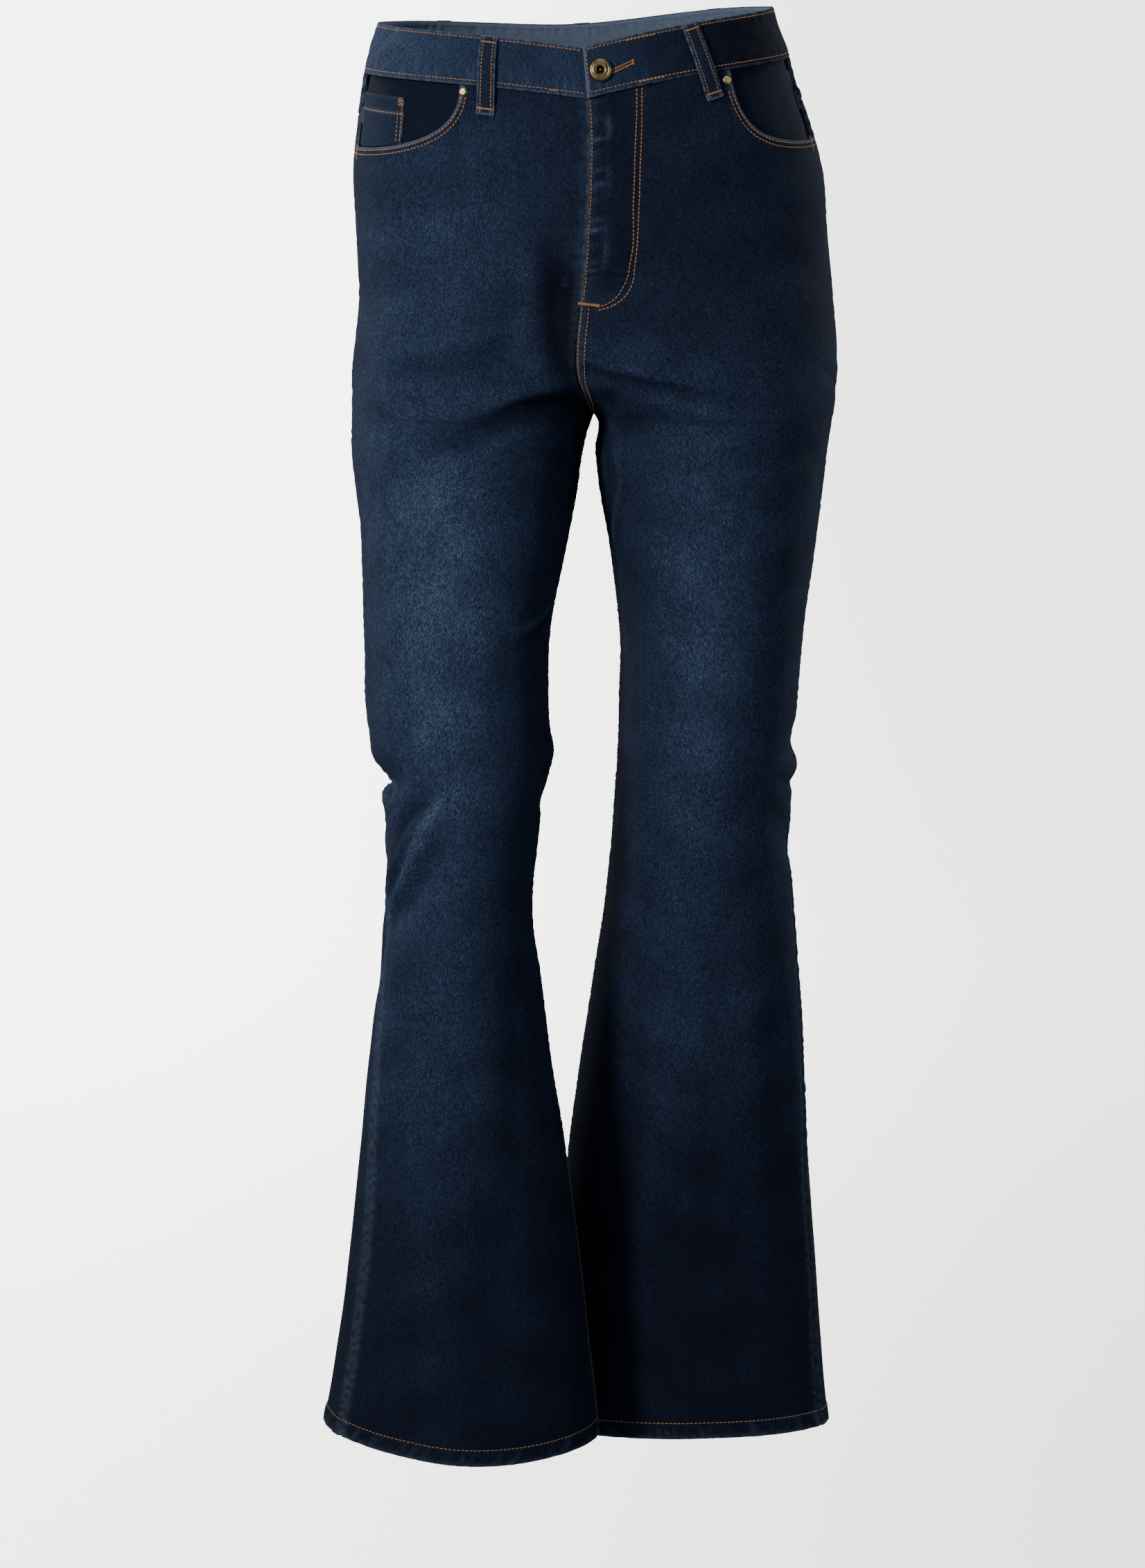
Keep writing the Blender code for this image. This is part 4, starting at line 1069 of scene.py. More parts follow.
def scoop_distance(side, angle, level):
    """How far points of a front panel lie from the edge of its pocket's scoop."""
    angle, level = np.broadcast_arrays(angle, level)
    result = np.full(angle.shape, 1.0)
    near = (level > SCOOP_LOW) & (angle > 0.5) & (angle < 1.7)
    if near.any():
        curve_angle, curve_level = SCOOP_CURVES[side]
        across = (angle[near][:, None] - curve_angle[None, :]) * SCOOP_PACE
        result[near] = np.hypot(across, level[near][:, None] - curve_level[None, :]).min(axis=1)
    return result


def scoop_relief(side, angle, level):
    """The scoop's edge is turned under and sewn down with two rows."""
    distance = scoop_distance(side, angle, level)
    total = 0.0005 * smooth_step(0.0088, 0.0072, distance)
    total -= 0.0006 * smooth_step(0.0010, 0.0, distance)
    total -= 0.0003 * (bump((distance - 0.0021) / 0.0007) + bump((distance - 0.0054) / 0.0007))
    waves = 0.00024 * ripple(level + angle * 0.1, 0.0088, 3.3 + side)
    return total + waves * bump((distance - 0.004) / 0.004)


RULED_TO = -0.165
BACK_LEVEL = -0.130


def front_piece(side, materials):
    """A front panel. Its upper rows run from the scoop's edge down to a level one, RULED_TO."""
    shares = crowded(88)
    curve_angle, curve_level = scoop_curve(side, np.linspace(0, 90, 400))
    waist = np.linspace(0, curve_angle[0], 200)[:-1]
    line_angle = np.concatenate([waist, curve_angle])
    line_level = np.concatenate([np.full(len(waist), WAIST_SEAM), curve_level])
    line_level = np.minimum(line_level, WAIST_SEAM - SEAM_GAP / 2)
    arc = np.hypot(np.diff(line_angle) * SCOOP_PACE, np.diff(line_level))
    arc = np.concatenate([[0], np.cumsum(arc)]) / arc.sum()
    corner = arc[len(waist)]
    shares = np.interp(shares, [0, shares[np.argmin(np.abs(shares - corner))], 1], [0, corner, 1])
    top_share = np.interp(shares, arc, line_angle) / line_angle[-1]
    top_level = np.interp(shares, arc, line_level)
    down = np.linspace(0, 1, 46)[:, None]
    down = down - 0.35 * np.sin(math.pi * down) * (1 - down) / math.pi
    level = top_level + (RULED_TO - top_level) * down
    share = top_share + (shares - top_share) * smooth_step(0, 1, down)
    lower = fine_leg_lines(RULED_TO - LEG_STEP)[:, None]
    level = np.concatenate([level, np.broadcast_to(lower, (len(lower), len(shares)))])
    share = np.concatenate([share, np.broadcast_to(shares, (len(lower), len(shares)))])
    first = front_edge(side, level)
    angle = first + (side_seam(side, level) - half_gap(side, level) - first) * share
    outer, inner, fade, wear = leg_panel(side, angle, level, side + 2.0)
    wear = np.maximum(wear, 0.95 * bump(scoop_distance(side, angle, level) / 0.0012))
    if side > 0:
        reach = (angle - first) * SIDE_PACE
        wear = np.maximum(wear, 0.75 * edge_at(reach, level, 0.0013, 4.0) * (level > CROTCH))
        fly = smooth_step(0.036, 0.028, reach) * smooth_step(FLY_END - 0.012, FLY_END - 0.004, level)
        puckers = np.clip(ripple(level, 0.0094, 2.2), 0, 1) * bump((reach - 0.006) / 0.005)
        ridge = np.clip(ripple(level, 0.047, 1.1) + 0.3, 0, 1) * bump((reach - 0.0150) / 0.003)
        fade = fade + fly * (0.46 * puckers + 0.36 * ridge - 0.08)
    name = f"denim_front_{SIDES[side]}"
    piece = shell(name, outer, inner, materials, fade, wear, grain(outer, level, side * 0.4))
    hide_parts(f"front_panel_{SIDES[side]}")
    return piece


def back_columns(side, shares):
    """The columns of a back panel or a yoke, for settle."""
    def columns_at(level):
        first = side_seam(side, level) + half_gap(side, level)
        return fine_columns(first, back_edge(side, level), shares)

    return columns_at


def below_yoke(drop):
    return lambda angle: yoke_line(angle) - drop


def back_piece(side, materials):
    """A back panel. Its rows turn from the yoke's slant to level ones at BACK_LEVEL."""
    count = int((YOKE_CENTRE - 0.006 - BACK_LEVEL) / LEG_STEP) + 10
    lines = lines_between(below_yoke(SEAM_GAP / 2), below_yoke(0.006), 5)
    lines += lines_between(below_yoke(0.006), flat(BACK_LEVEL), count)[1:]
    lines += [flat(value) for value in fine_leg_lines(BACK_LEVEL - LEG_STEP)]
    angle, level = settle(lines, back_columns(side, crowded(84)))
    outer, inner, fade, wear = leg_panel(side, angle, level, side + 5.0)
    name = f"denim_back_{SIDES[side]}"
    piece = shell(name, outer, inner, materials, fade, wear, grain(outer, level, 2 + side * 0.4))
    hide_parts(f"back_panel_{SIDES[side]}")
    return piece


def yoke_piece(side, materials):
    lines = lines_between(flat(WAIST_SEAM - SEAM_GAP / 2), below_yoke(-0.009), 14)
    lines += lines_between(below_yoke(-0.009), below_yoke(-SEAM_GAP / 2), 9)[1:]
    angle, level = settle(lines, back_columns(side, crowded(64)))
    outer = cloth(side, angle, level)
    inner = cloth(side, angle, level, -WALL)
    wear = 0.7 * edge_at(edge_distance(outer), level, 0.0014, side)
    wear += 0.75 * edge_at(level - yoke_line(angle), angle * YOKE_PACE, 0.0013, side)
    name = f"denim_yoke_{SIDES[side]}"
    fade = fade_at(side, angle, level)
    piece = shell(name, outer, inner, materials, fade, wear, grain(outer, level, 4 + side))
    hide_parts(f"yoke_{SIDES[side]}")
    return piece


def patch_piece(name, side, angle, level, low, thick, materials):
    """A patch on the cloth under it: its edges are turned in, and its top is hemmed."""
    inner = cloth(side, angle, level, low)
    down = run_along(inner)
    near = np.minimum(np.minimum(edge_distance(inner), down), down[-1:] - down)
    puff = 0.0004 * smooth_step(0.0, 0.0016, near) - 0.0003 * bump((near - 0.0018) / 0.0008)
    puff -= 0.0003 * bump((near - 0.0068) / 0.0008) + 0.0004 * smooth_step(0.007, 0.011, near)
    puff += 0.0002 * ripple(level + angle * 0.1, 0.0090, 2.0 + side) * bump((near - 0.004) / 0.004)
    top = smooth_step(PATCH_HEM + 0.001, PATCH_HEM - 0.001, down) * 0.0003
    outer = cloth(side, angle, level, low + thick + puff + top)
    wear = 0.9 * edge_at(near, level + angle * 0.1, 0.0014, 2.0)
    fade = fade_at(side, angle, level) - 0.05
    return shell(name, outer, inner, materials, fade, wear, grain(outer, level, 7 + side))


def pocket_edges(side, level):
    """The pocket's two side edges at a level, as the solid has them."""
    down = np.clip((YOKE_SIDE - level) / (YOKE_SIDE - POCKET_BOTTOM), 0, 1)
    return [angle_at(side, e[0] + (e[1] - e[0]) * down, level) for e in (POCKET_OUTER, POCKET_INNER)]


POCKET_LEVELS = np.linspace(-0.262, -0.046, 110)
POCKET_EDGES = {side: pocket_edges(side, POCKET_LEVELS) for side in SIDES}


def pocket_bounds(side, level):
    return [np.interp(level, POCKET_LEVELS, edge) for edge in POCKET_EDGES[side]]


def pocket_piece(side, materials):
    lines = [between(pocket_top, pocket_bottom, s) for s in crowded(56, 0.7)]
    shares = crowded(44)
    angle, level = settle(lines, lambda rows: fine_columns(*pocket_bounds(side, rows), shares))
    name = f"denim_back_pocket_{SIDES[side]}"
    piece = patch_piece(name, side, angle, level, LAYER_GAP, PATCH_WALL, materials)
    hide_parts(f"back_pocket_{SIDES[side]}")
    return piece


def facing_points(side, angle, level, lift):
    return layer(side, angle, level, lift - FACING_SUNK + uneven(side, angle * 2, level) * 0.8)


def facing_piece(side, materials):
    """The denim that shows in a scoop, on the pocket's far side."""
    seam = HALVES[side].at("seam", WAIST_SEAM)
    columns = np.radians(np.linspace(SCOOPS[side].top - FACING_UNDER, seam + 4, 60))
    levels = np.linspace(WAIST_SEAM + FACING_RISE, WAIST_SEAM - FACING_DEPTH, 44)
    angle, level = np.meshgrid(columns, levels)
    outer = facing_points(side, angle, level, 0.0)
    inner = facing_points(side, angle, level, -PATCH_WALL)
    name = f"denim_facing_{SIDES[side]}"
    piece = shell(name, outer, inner, materials, FACING_FADE, 0.0, grain(outer, level, 9 + side))
    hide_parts(f"pocket_facing_{SIDES[side]}")
    return piece


def coin_piece(materials):
    side = -1
    seam = HALVES[side].at("seam", WAIST_SEAM)
    columns = np.radians(COIN_EDGE + (seam - 1.5 - COIN_EDGE) * crowded(30))
    top = np.full_like(columns, COIN_TOP)
    level = top + (coin_bottom(side)(columns) - top) * crowded(34, 0.5)[:, None]
    angle = np.broadcast_to(columns, level.shape)
    inner = facing_points(side, angle, level, LAYER_GAP)
    down, across = run_along(inner), run_along(inner, 1)
    near = np.minimum(across, down)
    puff = 0.0004 * smooth_step(0, 0.0014, near) - 0.0002 * bump((across - 0.0016) / 0.0007)
    waves = 0.00025 * ripple(level, 0.0100, 1.0) * bump((across - 0.003) / 0.004)
    puff += 0.0003 * smooth_step(0.0130, 0.0115, down) + waves
    outer = facing_points(side, angle, level, LAYER_GAP + PATCH_WALL * 0.8 + puff)
    wear = 0.9 * edge_at(near, level, 0.0013, 3.0) + 0.3 * bump((down - 0.012) / 0.0015)
    cloth_at = grain(outer, level, 12)
    piece = shell("denim_coin_pocket", outer, inner, materials, COIN_FADE, wear, cloth_at)
    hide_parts("coin_pocket")
    return piece


def band_ring():
    """The waistband's cross section: level and shift from its middle, up the face and down the back."""
    half = BAND_WALL / 2 - 0.0001
    low = WAIST_SEAM + SEAM_GAP / 2 + 0.0002
    bend = WAIST_TOP - half
    face = [(low, half - 0.0005), (low + 0.0005, half)]
    face += [(low + 0.0005 + (bend - low - 0.0005) * s, half) for s in crowded(24, 0.6)[1:]]
    face += [(bend + half * math.sin(a), half * math.cos(a)) for a in np.radians([22, 45, 68])]
    top = [(bend + half, half * math.cos(math.pi / 2))]
    return face + top + [(level, -shift) for level, shift in reversed(face)]


def waistband_piece(materials):
    """One strip, as a closed tube of rings from its under end round to the end that laps over it."""
    lap_from = LAP_RAMP - 360
    turn = np.concatenate([
        np.linspace(LAP_UNDER, 0, 10), np.linspace(0, lap_from, 560)[1:],
        np.linspace(lap_from, -358.2, 58)[1:], LAP_END,
    ])
    turn = np.radians(turn)[:, None]
    turn, level, shift = np.broadcast_arrays(turn, *np.array(band_ring()).T)
    ends = 1 - 0.75 * smooth_step(math.radians(LAP_THINS), -FULL_TURN, turn)
    lift = band_lift(turn) - BAND_WALL / 2 + shift * ends + band_relief(turn, level)
    points = around(turn, level, lift)
    rows, columns = points.shape[:2]
    index = np.arange(rows * columns).reshape(rows, columns)
    faces = quads(np.concatenate([index, index[:, :1]], axis=1)).tolist()
    column = np.arange(columns)
    inside = (column >= columns - columns // 2 + 2) & (column < columns - 1)
    inside = np.broadcast_to(inside, (rows - 1, columns)).astype(np.int32)
    caps = [
        (start + k, start + k + 1, start + columns - 2 - k, start + columns - 1 - k)
        for start in (0, (rows - 1) * columns) for k in range(columns // 2 - 1)
    ]
    material_index = np.concatenate([inside.ravel(), np.zeros(len(caps), np.int32)])
    v = turn * BAND_RADIUS
    wear = 0.75 * edge_at(level - WAIST_TOP, v, 0.0016, 1.0)
    wear = wear + 0.6 * edge_at(level - WAIST_SEAM - 0.0004, v, 0.0014, 2.0)
    wear += 0.95 * bump((turn + FULL_TURN) * BAND_RADIUS / 0.0016)
    puckers = np.clip(ripple(v, 0.0104, 2.7), 0, 1) * bump((level - WAIST_SEAM - 0.008) / 0.006)
    fade = 0.42 + 0.14 * np.sin(turn * 3 + 1) + 0.10 * puckers
    turned = wrap(turn)
    # Lighter round the wearer's right front, near a turn of -60 degrees, and darker over the wearer's
    # left half.
    fade = fade + 0.27 * bump((turned + 1.05) / 0.55) - 0.17 * smooth_step(-0.35, 0.5, turned)
    attributes = {
        "fade": fade.ravel(),
        "edge": np.clip(wear, 0, 1).ravel(),
        "cloth": np.stack([level, v, np.full_like(v, 15.0)], axis=-1).reshape(-1, 3),
    }
    points = points.reshape(-1, 3)
    piece = mesh_piece("denim_waistband", points, faces + caps, materials, material_index, attributes)
    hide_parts("waistband")
    return piece


def loop_points(loop, share, across, lift=0.0):
    """Points of a belt loop: share runs down it, across is in metres."""
    share, across = np.broadcast_arrays(np.asarray(share, float), np.asarray(across, float))
    turn, level = patch(math.radians(loop.turn), WAIST_TOP, across, share * LOOP_LENGTH, loop.tilt)
    arch = LOOP_ARCH * np.sin(math.pi * np.clip(share / LOOP_ARCH_END, 0, 1)) ** 0.7
    over_band = smooth_step(*LOOP_BEND, share)
    height = (BAND_PROUD + LAYER_GAP) * over_band + LOOP_FOOT * (1 - over_band) + arch
    edge = np.abs(across) / (LOOP_WIDTH / 2)
    form = -0.0003 * bump((edge - 0.62) / 0.12) - 0.0004 * smooth_step(0.86, 1.0, edge)
    waves = 0.00020 * ripple(share * LOOP_LENGTH, 0.0080, loop.turn)
    form = form + waves * smooth_step(0.5, 0.9, edge)
    ends = -0.0005 * (bump(share / 0.045) + bump((1 - share) / 0.045))
    return around(turn, level, height + lift + (form + ends) * (lift > 0.0001))


def loop_piece(loop, materials):
    share = crowded(52, 0.4)[:, None]
    across = (crowded(14, 0.5) - 0.5) * LOOP_WIDTH
    share, across = np.broadcast_arrays(share, across)
    outer = loop_points(loop, share, across, LOOP_WALL)
    inner = loop_points(loop, share, across, 0.0)
    wear = 0.95 * edge_at(LOOP_WIDTH / 2 - np.abs(across), share * LOOP_LENGTH, 0.0011, loop.turn)
    wear = wear + 0.8 * bump(share / 0.02) + 0.8 * bump((1 - share) / 0.02)
    cloth_at = np.stack([across, -share * LOOP_LENGTH, np.full_like(share, 20 + loop.turn)], axis=-1)
    piece = shell(f"denim_loop_{loop.name}", outer, inner, materials, LOOP_FADE, wear, cloth_at)
    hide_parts(f"belt_loop_{loop.name}")
    return piece


def sunk_strip(name, turns, levels, sunk, wall, materials, fade, seed):
    """A strip of cloth behind the torso's face, over turns in degrees and the levels given."""
    turn, level = np.broadcast_arrays(np.radians(turns), levels)
    outer = around(turn, level, -sunk)
    inner = around(turn, level, -sunk - wall)
    return shell(name, outer, inner, materials, fade, 0.0, grain(outer, level, seed))


def strip_piece(name, node, turns, bottom, sunk, wall, materials, fade):
    levels = np.linspace(WAIST_SEAM - FLY_TOP, bottom, 60)[:, None]
    piece = sunk_strip(name, np.linspace(*turns, 24), levels, sunk, wall, materials, fade, 30)
    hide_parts(node)
    return piece


def backing(name, lines, materials):
    """The seam allowance behind a seam, through four lines of (side, angle, level)."""
    outer, inner = [], []
    for side, turn, height in lines:
        outer.append(cloth(side, turn, height, -wall_at(height) - ALLOWANCE_GAP))
        inner.append(cloth(side, turn, height, -wall_at(height) - ALLOWANCE_GAP - ALLOWANCE_WALL))
    outer, inner = np.stack(outer, axis=1), np.stack(inner, axis=1)
    level = np.stack([height for side, turn, height in lines], axis=1)
    return shell(name, outer, inner, materials, PLAIN_FADE, 0.0, grain(outer, level, 40))


def middle_backing(name, edge, way, levels, materials):
    lines = []
    for side, reach in ((1, ALLOWANCE), (1, 0.0003), (-1, 0.0003), (-1, ALLOWANCE)):
        angle = edge(side, levels)
        lines.append((side, angle + way * reach / pace_at(side, angle, levels), levels))
    return backing(name, lines, materials)


def side_backing(name, side, middle, pace, levels, materials):
    reaches = (-ALLOWANCE, -0.0008, 0.0008, ALLOWANCE)
    return backing(name, [(side, middle + reach / pace, levels) for reach in reaches], materials)


def seam_backings(materials):
    """Allowances behind the long seams, which also close the hairline between two panels."""
    levels = np.linspace(WAIST_SEAM - 0.0006, CROTCH + 0.003, 120)
    made = [
        middle_backing("denim_allowance_front", front_edge, 1, levels, materials),
        middle_backing("denim_allowance_back", back_edge, -1, levels, materials),
    ]
    for side, word in SIDES.items():
        levels = np.linspace(YOKE_CENTRE, HEM + 0.002, 330)
        seam = side_seam(side, levels)
        name = f"denim_allowance_side_{word}"
        made.append(side_backing(name, side, seam, SIDE_PACE, levels, materials))
        levels = np.linspace(CROTCH - 0.002, HEM + 0.002, 300)
        name = f"denim_allowance_inseam_{word}"
        made.append(side_backing(name, side, 1.5 * math.pi, INSEAM_PACE, levels, materials))
        angle = np.linspace(math.radians(88), math.radians(178), 90)
        rises = (-ALLOWANCE, -0.0006, 0.0006, ALLOWANCE)
        lines = [(side, angle, yoke_line(angle) + rise) for rise in rises]
        made.append(backing(f"denim_allowance_yoke_{word}", lines, materials))
    turns = np.linspace(-0.5, -359.5, 420)[:, None]
    levels = WAIST_SEAM + np.array([-0.0070, -0.0008, 0.0014, 0.0050])
    sunk = FACING_SUNK + PATCH_WALL + 2 * ALLOWANCE_GAP
    made.append(sunk_strip(
        "denim_allowance_waist", turns, levels, sunk, ALLOWANCE_WALL, materials, PLAIN_FADE, 44,
    ))
    return made


# ---------------------------------------------------------------- sewing

THREAD_CORNERS = 5


def stitch_faces():
    """The faces of one stitch: a tip, three rings of corners and the other tip."""
    faces = []
    last = 1 + 2 * THREAD_CORNERS
    for k in range(THREAD_CORNERS):
        n = (k + 1) % THREAD_CORNERS
        faces.append((0, 1 + n, 1 + k))
        for ring in (1, 1 + THREAD_CORNERS):
            above = ring + THREAD_CORNERS
            faces.append((ring + k, ring + n, above + n, above + k))
        faces.append((last + k, last + n, last + THREAD_CORNERS))
    return faces


def read_at(arc, values, where):
    """Points or normals along a path, at distances from its start."""
    return np.stack([np.interp(where, arc, values[:, k]) for k in range(3)], axis=1)


class Sewing:
    """Stitches as small rounded lengths of thread, gathered into one mesh for each name."""

    def __init__(self):
        self.runs = {}
        self.random = np.random.default_rng(7)

    def capsules(self, label, centres, ways, normals, length, radius, sink=0.00022):
        """centres, ways (unit, along the thread) and normals are (n, 3)."""
        sides = unit(np.cross(normals, ways))
        length = np.broadcast_to(length, (len(centres),))[:, None]
        rings = [centres - ways * length * 0.5 - normals * sink]
        for at, fat in ((-0.36, 0.92), (0.0, 1.0), (0.36, 0.92)):
            middle = centres + ways * length * at + normals * (0.00020 - abs(at) * 0.00030)
            for corner in range(THREAD_CORNERS):
                turn = FULL_TURN * corner / THREAD_CORNERS + 0.3
                spoke = sides * math.cos(turn) + normals * math.sin(turn) * 0.72
                rings.append(middle + spoke * radius * fat)
        rings.append(centres + ways * length * 0.5 - normals * sink)
        self.runs.setdefault(label, []).append(np.stack(rings, axis=1))

    def row(self, label, path, pitch=0.0031, fill=0.80, radius=0.00034, lift=0.00012):
        """A row of stitches along path, which gives points for a lift."""
        base = path(lift)
        normals = unit(path(lift + 0.001) - base)
        arc = run_along(base)
        count = max(1, int(arc[-1] / pitch))
        pitch = arc[-1] / count
        at = (np.arange(count) + 0.5) * pitch + self.random.normal(0, 0.00008, count)
        half = pitch * fill / 2
        thread = read_at(arc, base, at + half) - read_at(arc, base, at - half)
        normal = unit(read_at(arc, normals, at))
        side = unit(np.cross(normal, thread))
        slant = self.random.normal(0.00010, 0.00005, count)[:, None]
        ways = thread + side * slant * 2
        length = np.linalg.norm(ways, axis=1)
        self.capsules(label, read_at(arc, base, at), ways / length[:, None], normal, length, radius)

    def satin(self, label, path, width, pitch=0.00055, radius=0.00030, lift=0.0003, slant=0.25):
        """Close stitches across a path, as in a bar tack."""
        base = path(lift)
        arc = run_along(base)
        count = max(3, int(arc[-1] / pitch))
        at = np.linspace(0, arc[-1], count)
        normal = unit(read_at(arc, path(lift + 0.001) - base, at))
        along = unit(read_at(arc, base, at + 0.0004) - read_at(arc, base, at - 0.0004))
        turned = np.where(np.arange(count) % 2, slant, -slant)[:, None]
        ways = unit(np.cross(normal, along) + along * turned)
        length = width * (1 + self.random.normal(0, 0.07, count))
        self.capsules(label, read_at(arc, base, at), ways, normal, length, radius, sink=0.0004)

    def build(self, material):
        """One mesh for each label, of all its stitches."""
        made = []
        for label, runs in self.runs.items():
            faces, start = [], 0
            for stitches in runs:
                count, each = stitches.shape[:2]
                starts = start + np.arange(count) * each
                for corners in stitch_faces():
                    faces += (starts[:, None] + np.array(corners)).tolist()
                start += count * each
            points = np.concatenate([stitches.reshape(-1, 3) for stitches in runs])
            made.append(mesh_piece(label, points, faces, [material], sharp=80))
        return made


def offset(side, angle, level, distance):
    """A line moved sideways over the cloth, to its right as it runs with the angle going up."""
    _, pace, fall = slopes_at(side, angle, level)
    run = np.gradient(angle) * pace
    rise = np.gradient(level) * fall
    length = np.hypot(run, rise)
    return angle + rise / length * distance / pace, level - run / length * distance / fall


def on_cloth(side, angle, level, low=0.0):
    return lambda lift: cloth(side, angle, level, low + lift)


def on_band(turn, level):
    return lambda lift: band(turn, np.broadcast_to(level, np.shape(turn)), lift)


def beside(side, edge, level, away):
    """A path on the cloth, this far round from an edge."""
    return on_cloth(side, edge + away / pace_at(side, edge, level), level)


def sew_legs(sewing):
    """Round the hems and up the inseams."""
    for side, word in SIDES.items():
        label = f"thread_leg_{word}"
        angle = np.linspace(-math.pi / 2 + 0.01, 1.5 * math.pi - 0.01, 500)
        sewing.row(label, on_cloth(side, angle, np.full_like(angle, HEM + HEM_STITCH)), pitch=0.0033)
        level = np.linspace(HEM + 0.012, CROTCH - 0.004, 600)
        inseam = np.full_like(level, 1.5 * math.pi)
        for away in (0.0013, 0.0066):
            sewing.row(label, beside(side, inseam, level, -away))


def sew_middle(sewing):
    """The fly's rows, the felled seam under it and the one up the centre back."""
    label = "thread_middle"
    for table, low in ((FLY_OUTER, FLY_FOOT), (FLY_INNER, FLY_FOOT - 0.0030)):
        level, turn = smooth_line(table + ((low, -1.0),), 260).T
        sewing.row(label, on_cloth(1, np.radians(turn), level), pitch=0.0030, radius=0.00044)
    level = np.linspace(WAIST_SEAM - 0.001, FLY_FOOT + 0.0070, 200)
    sewing.row(label, beside(1, front_edge(1, level), level, 0.0019), pitch=0.0030)
    level = np.linspace(FLY_FOOT, CROTCH + 0.004, 240)
    for away in (0.0012, 0.0064):
        sewing.row(label, beside(1, front_edge(1, level), level, away), radius=0.00037)
    level = np.linspace(WAIST_SEAM - 0.001, CROTCH + 0.004, 420)
    for away in (0.0014, 0.0066):
        sewing.row(label, beside(1, back_edge(1, level), level, -away))
    tack = on_cloth(1, np.radians(np.linspace(-6.6, 0.4, 40)), np.linspace(-0.1806, -0.1834, 40))
    sewing.satin("thread_tacks", tack, 0.0025, lift=0.0004)


def sew_yokes(sewing):
    angle = np.linspace(math.radians(89), math.radians(179.3), 300)
    for side in SIDES:
        for rise in (0.0015, 0.0067):
            sewing.row("thread_yokes", on_cloth(side, angle, yoke_line(angle) + rise))


TACK_AT = -12            # the scoop's bar tack, in steps from its lower end


def sew_scoops(sewing):
    for side in SIDES:
        angle, level = scoop_curve(side, np.linspace(5, 89, 220))
        for away in (0.0021, 0.0054):
            row_angle, row_level = offset(side, angle, level, away)
            keep = row_level < WAIST_SEAM - 0.0006
            path = on_cloth(side, row_angle[keep], row_level[keep])
            sewing.row("thread_scoops", path, pitch=0.0030, radius=0.00042)
        tack_angle, tack_level = offset(side, angle, level, 0.0037)
        here = slice(TACK_AT - 1, TACK_AT + 1)
        pace = pace_at(side, tack_angle[here], tack_level[here])[0]
        start = np.full(24, tack_angle[TACK_AT]) + 0.001 / pace
        path = on_cloth(side, start, tack_level[TACK_AT] + np.linspace(-0.0055, 0.0055, 24))
        sewing.satin("thread_tacks", path, 0.0020, lift=0.0004)


def pocket_outline(side):
    """Down one side of a back pocket, round its point and up the other, along its edge."""
    level = np.linspace(-0.05, -0.26, 400)
    sides = []
    for edge in pocket_bounds(side, level):
        inside = (level < pocket_top(edge)) & (level > pocket_bottom(edge))
        sides.append((edge[inside], level[inside]))
    (first_angle, first_level), (last_angle, last_level) = sides
    low = np.linspace(first_angle[-1], last_angle[-1], 160)
    angle = np.concatenate([first_angle, low[1:-1], last_angle[::-1]])
    return angle, np.concatenate([first_level, pocket_bottom(low)[1:-1], last_level[::-1]])


def inset_line(side, angle, level, distance):
    """The line moved in, with its corners kept clean."""
    moved_angle, moved_level = offset(side, angle, level, -distance)
    edge = np.stack([angle * POCKET_PACE, level], axis=1)
    moved = np.stack([moved_angle * POCKET_PACE, moved_level], axis=1)
    gaps = np.array([np.linalg.norm(edge - point, axis=1).min() for point in moved])
    keep = gaps > distance * 0.86
    return moved_angle[keep], moved_level[keep]


def sew_pockets(sewing):
    low = LAYER_GAP + PATCH_WALL + 0.0002
    for side, word in SIDES.items():
        label = f"thread_pocket_{word}"
        angle, level = pocket_outline(side)
        for away in (0.0018, 0.0070):
            sewing.row(label, on_cloth(side, *inset_line(side, angle, level, away), low))
        level = np.linspace(-0.05, -0.12, 300)
        ends = [
            edge[np.argmin(np.abs(level - pocket_top(edge) + PATCH_HEM))]
            for edge in pocket_bounds(side, level)
        ]
        across = np.linspace(*ends, 160)
        sewing.row(label, on_cloth(side, across, pocket_top(across) - 0.0118, low))
        for end, way in zip(ends, (1, -1)):
            tack = np.full(20, end + way * 0.0045 / POCKET_PACE)
            path = on_cloth(side, tack, pocket_top(tack) - np.linspace(0.0004, 0.0095, 20), low)
            sewing.satin("thread_tacks", path, 0.0022)


def sew_coin(sewing):
    side = -1
    low = LAYER_GAP + PATCH_WALL - 0.0002

    def path(angle, level):
        return lambda lift: facing_points(side, angle, level, low + lift)

    def row(angle, level):
        sewing.row("thread_coin", path(angle, level), pitch=0.0030, radius=0.00042, lift=0.0003)

    edge = math.radians(COIN_EDGE)
    level = np.linspace(COIN_TOP - 0.001, coin_bottom(side)(np.array([edge]))[0] + 0.001, 80)
    pace = pace_at(side, np.full_like(level, edge), level)
    for away in (0.0015, 0.0054):
        row(edge + away / pace, level)
    seam = HALVES[side].at("seam", WAIST_SEAM)
    angle = np.linspace(edge + 0.006, math.radians(seam - 2), 80)
    row(angle, np.full_like(angle, COIN_TOP - 0.0122))
    tack = path(np.full(16, edge + 0.0035 / pace[0]), COIN_TOP - np.linspace(0.0008, 0.0085, 16))
    sewing.satin("thread_tacks", tack, 0.0040, pitch=0.0009)


BAND_ROWS = (WAIST_TOP - 0.0025, WAIST_SEAM + 0.0040)
HEAVY_ROWS = (           # first and last turn, and level
    (17.4, 29.3, WAIST_TOP - 0.0031),
    (20.5, 30.5, WAIST_SEAM + 0.0033),
    (-11.3, -14.2, WAIST_SEAM + 0.0033),
)


